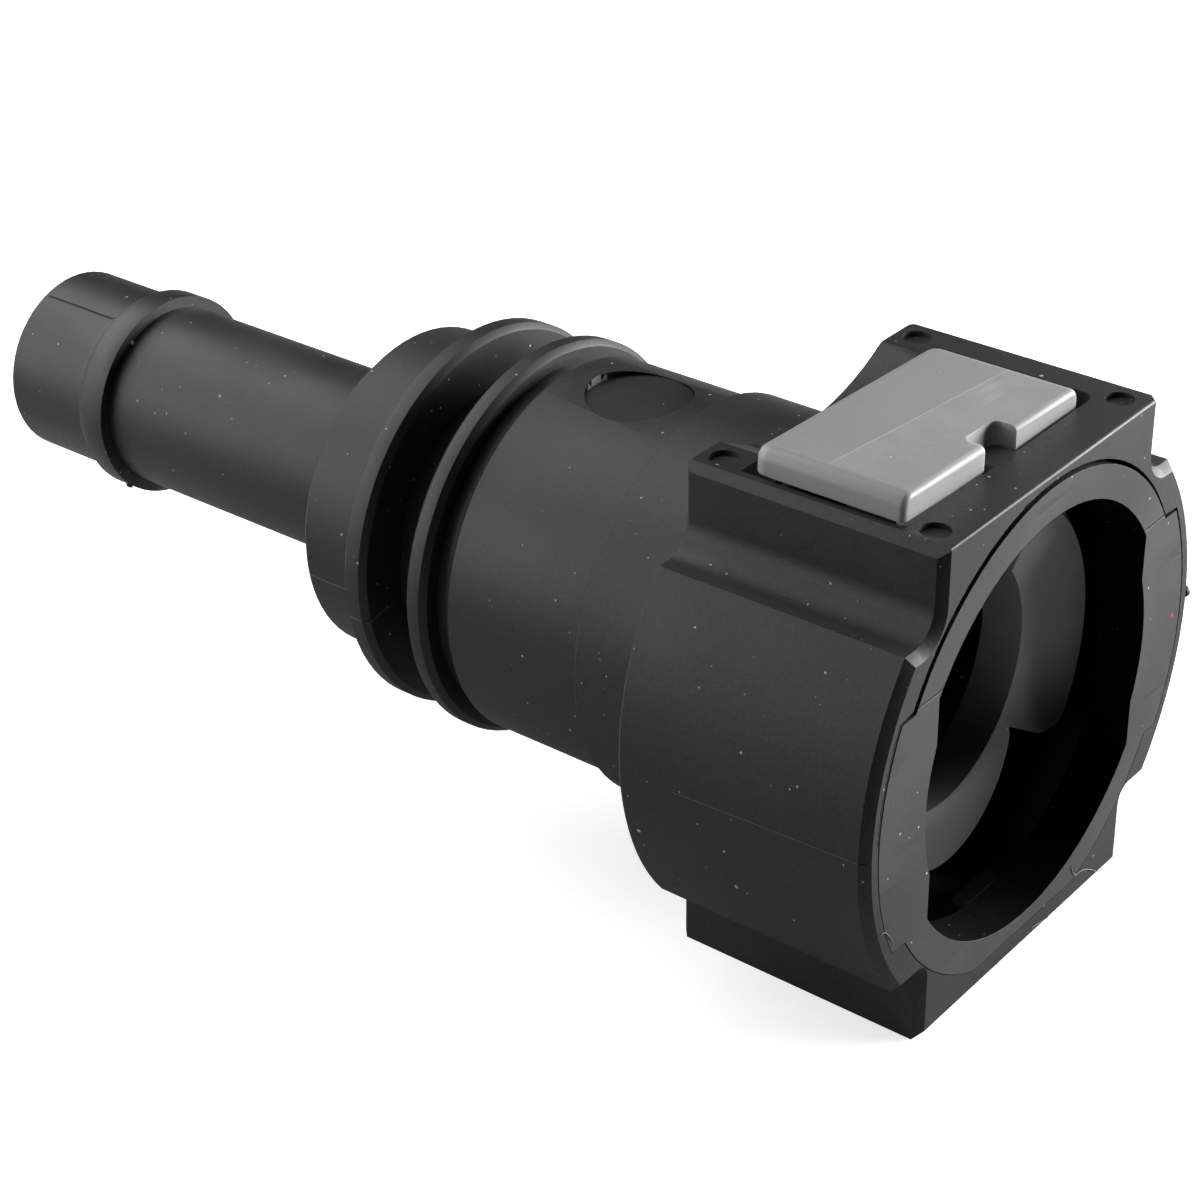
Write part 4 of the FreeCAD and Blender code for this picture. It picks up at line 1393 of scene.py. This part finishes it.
@dataclass
class Studio:
    """Pale floor, soft lights and the camera at the photograph's angle.

    Args:
        floor_mm: height of the floor.
        floor_size_mm: side of the floor.
        bounce_level: level with which the floor lights the part.
        painted_flag_shade_level: the same on the side towards the camera, darkened by painted shade that
            stands in for a dark flag.
        painted_flag_shade_way: direction to that side.
        painted_flag_shade_mm: how far out the painted shade is full.
        paper_level: level of the floor for the camera.
        paper_scale: how often its grain turns along a metre.
        paper_grain: how far the grain darkens it.
        paper_specular: strength of its reflections.
        paper_roughness: its least roughness.
        paper_change: roughness that the grain adds.
        lift_start_mm: distance from which the floor turns white for the camera.
        lift_end_mm: distance at which it is white.
        lift_colour: light that is added to it near the part.
        aim_mm: the point that the lights face.
        world_level: strength with which the backdrop lights the part.
        boxes: the soft lights.
        right: the camera's own axis to the right.
        up: its axis up.
        back: its axis away from the part.
        eye: where it stands, in metres.
        lens: its focal length in millimetres.
        sensor: width of its sensor in millimetres.
        shift: shift of the picture in widths.
        clip: nearest and farthest distance that it sees, in metres.
    """

    floor_mm: float = -8.45
    floor_size_mm: float = 3000.0
    bounce_level: float = 180.0
    painted_flag_shade_level: float = 70.0
    painted_flag_shade_way: Triple = (0.78, -0.62, 0.0)
    painted_flag_shade_mm: float = 50.0
    paper_level: float = 250.0
    paper_scale: float = 90.0
    paper_grain: float = 0.02
    paper_specular: float = 0.2
    paper_roughness: float = 0.75
    paper_change: float = 0.1
    lift_start_mm: float = 90.0
    lift_end_mm: float = 260.0
    lift_colour: Colour = (0.62, 0.62, 0.62, 1.0)
    aim_mm: Triple = (-14.0, 0.0, 0.0)
    world_level: float = 0.012
    boxes: tuple[Softbox, ...] = (
        Softbox("right_low", 50.0, 7.0, 1.13, height_mm=105.0),
        Softbox("rear_low", 90.0, 12.0, 0.07),
        Softbox("rear_overhead", 140.0, 70.0, 0.075),
        Softbox("tail_high", 182.0, 42.0, 0.22),
        Softbox("tail_low", 180.0, 12.0, 0.09),
        Softbox("left_low", 222.0, 9.0, 0.23),
        Softbox("left_high", 225.0, 40.0, 0.05),
        Softbox("front_left_low", 270.0, 12.0, 0.02),
    )
    right: Triple = (0.7851322, 0.61923058, -0.01099596)
    up: Triple = (-0.30477235, 0.40175995, 0.86354083)
    back: Triple = (0.53914862, -0.67464245, 0.50415903)
    eye: Triple = (0.04195075, -0.06461099, 0.04669921)
    lens: float = 86.1176
    sensor: float = 36.0
    shift: Pair = (-0.0023, -0.00248)
    clip: Pair = (0.002, 5.0)

    def floor(self) -> bpy.types.Object:
        """Plain pale floor, lifted to white at its far rim like a sweep, with painted shade on the camera
        side of the floor that the part sees.

        Returns:
            The floor.
        """
        deselect_all()
        bpy.ops.mesh.primitive_plane_add(size=self.floor_size_mm * MM, location=(0, 0, 0))
        floor = bpy.context.object
        floor.name = "floor"
        floor.data.transform(Matrix.Translation((0, 0, self.floor_mm * MM)))
        material = bpy.data.materials.new("floor_paper")
        material.use_nodes = True
        tree = Tree(material.node_tree)
        shader = material.node_tree.nodes["Principled BSDF"]
        shader.inputs["Specular IOR Level"].default_value = self.paper_specular
        place = tree.place()
        paper = tree.add("TexNoise", {"Vector": place, "Scale": self.paper_scale, "Detail": 3.0})
        seen = tree.add("LightPath").outputs["Is Camera Ray"]
        # Painted shade: the floor that the part sees turns darker towards the camera, standing in for a dark
        # flag.
        toward = tree.vector("DOT_PRODUCT", place, self.painted_flag_shade_way, output="Value")
        bounce = tree.blend(tree.ramp(toward, 0.0, self.painted_flag_shade_mm * MM), grey(self.bounce_level),
                            grey(self.painted_flag_shade_level))
        shown = tree.math("MULTIPLY_ADD", paper.outputs[0], -self.paper_grain, seen)
        tree.feed(shader.inputs["Base Color"], tree.blend(shown, bounce, grey(self.paper_level)))
        tree.feed(shader.inputs["Roughness"], tree.math(
            "MULTIPLY_ADD", paper.outputs[0], self.paper_change, self.paper_roughness))
        away = tree.vector("LENGTH", place, output="Value")
        lift = tree.blend(tree.ramp(away, self.lift_start_mm * MM, self.lift_end_mm * MM),
                          self.lift_colour, (1.0, 1.0, 1.0, 1.0))
        tree.feed(shader.inputs["Emission Color"], tree.blend(seen, (0.0, 0.0, 0.0, 1.0), lift))
        shader.inputs["Emission Strength"].default_value = 1.0
        floor.data.materials.append(material)
        return floor

    def world(self) -> None:
        """Backdrop that the camera sees white and that lights the part only dimly."""
        world = bpy.context.scene.world or bpy.data.worlds.new("backdrop")
        bpy.context.scene.world = world
        world.use_nodes = True
        tree = Tree(world.node_tree)
        world.node_tree.nodes["Background"].inputs[0].default_value = (1.0, 1.0, 1.0, 1.0)
        seen = tree.add("LightPath").outputs["Is Camera Ray"]
        tree.feed(world.node_tree.nodes["Background"].inputs[1], tree.math(
            "MULTIPLY_ADD", seen, 1.0 - self.world_level, self.world_level))

    def camera(self) -> bpy.types.Object:
        """Camera where the photograph was taken.

        Returns:
            The camera.
        """
        data = bpy.data.cameras.new("camera")
        camera = bpy.data.objects.new("camera", data)
        bpy.context.scene.collection.objects.link(camera)
        matrix = Matrix((self.right, self.up, self.back)).transposed().to_4x4()
        matrix.translation = Vector(self.eye)
        camera.matrix_world = matrix
        data.lens = self.lens
        data.sensor_width = self.sensor
        data.shift_x, data.shift_y = self.shift
        data.clip_start, data.clip_end = self.clip
        bpy.context.scene.camera = camera
        return camera

    def build(self) -> None:
        """Set the whole studio up."""
        self.floor()
        self.world()
        for box in self.boxes:
            box.build(Vector(self.aim_mm) * MM)
        self.camera()
        bpy.context.scene.view_settings.view_transform = "Standard"
        log.info("studio: %d soft lights", len(self.boxes))


@dataclass
class Connector:
    """The whole connector: its mouldings, its seal stack and the traces on it.

    Args:
        mouldings: the three mouldings that show.
        seals: the pieces hidden in the bore.
        fibres: the lint on the front.
        nubs: what the mould has left standing.
    """

    mouldings: tuple[Moulding, ...] = (
        Housing(),
        MouthRing(),
        Latch(),
    )
    seals: SealStack = field(default_factory=SealStack)
    fibres: tuple[LintFibre, ...] = (
        LintFibre("lint_below_mouth", (
            (7.03, 2.82, -6.92), (7.02, 2.95, -7.39), (7.03, 3.2, -7.5), (7.04, 3.32, -7.37),
            (7.04, 3.86, -7.59), (7.03, 4.44, -8.0), (7.03, 4.61, -8.2), (7.02, 5.0, -8.25))),
        LintFibre("lint_on_rim", (
            (7.03, 0.49, -7.95), (7.04, 0.8, -8.0), (7.03, 1.2, -8.1), (7.03, 1.5, -8.14))),
        LintFibre("lint_on_cheek", (
            (7.03, -8.42, -2.93), (7.05, -8.22, -2.8), (7.04, -7.97, -3.25), (7.03, -7.76, -3.57))),
    )
    nubs: tuple[MouldNub, ...] = (
        MouldNub("gate_stub_on_ear", (6.85, 9.16, 0.2), (0.25, 1.0, 0.0), 0.2, 0.16),
        MouldNub("flash_on_ridge", (-29.84, -2.52, -2.7), (0.1, -0.68, -0.73), 0.14, 0.12),
    )

    def build(self, nodes: Nodes, effects: Effects) -> None:
        """Build and dress every piece in order.

        Args:
            nodes: the CAD nodes by name.
            effects: the shared effect groups.
        """
        housing = HousingPlastic().build(effects)
        ring = RingPlastic().build(effects)
        latch = LatchPlastic().build(effects)
        lint = LintThread().build(effects)
        inner = {Slot.INNER: InnerPlastic().build(effects), Slot.SEAL: SealRubber().build(effects)}
        # The bore finish is near-black painted shade for the walls deep in the mouth.
        bore = BoreShadePlastic().build(effects)
        pairs = ((housing, bore), (ring, bore), (latch, None))
        for moulding, (material, within) in zip(self.mouldings, pairs):
            moulding.build(nodes, material, within)
        self.seals.build(nodes, inner)
        for fibre in self.fibres:
            fibre.build(lint)
        for nub in self.nubs:
            nub.build(housing)


def main() -> None:
    """Build the connector and the studio."""
    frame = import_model()
    Connector().build(frame["nodes"], Effects())
    Studio().build()


if __name__ == "__main__":
    logging.basicConfig(level=logging.INFO)
    main()
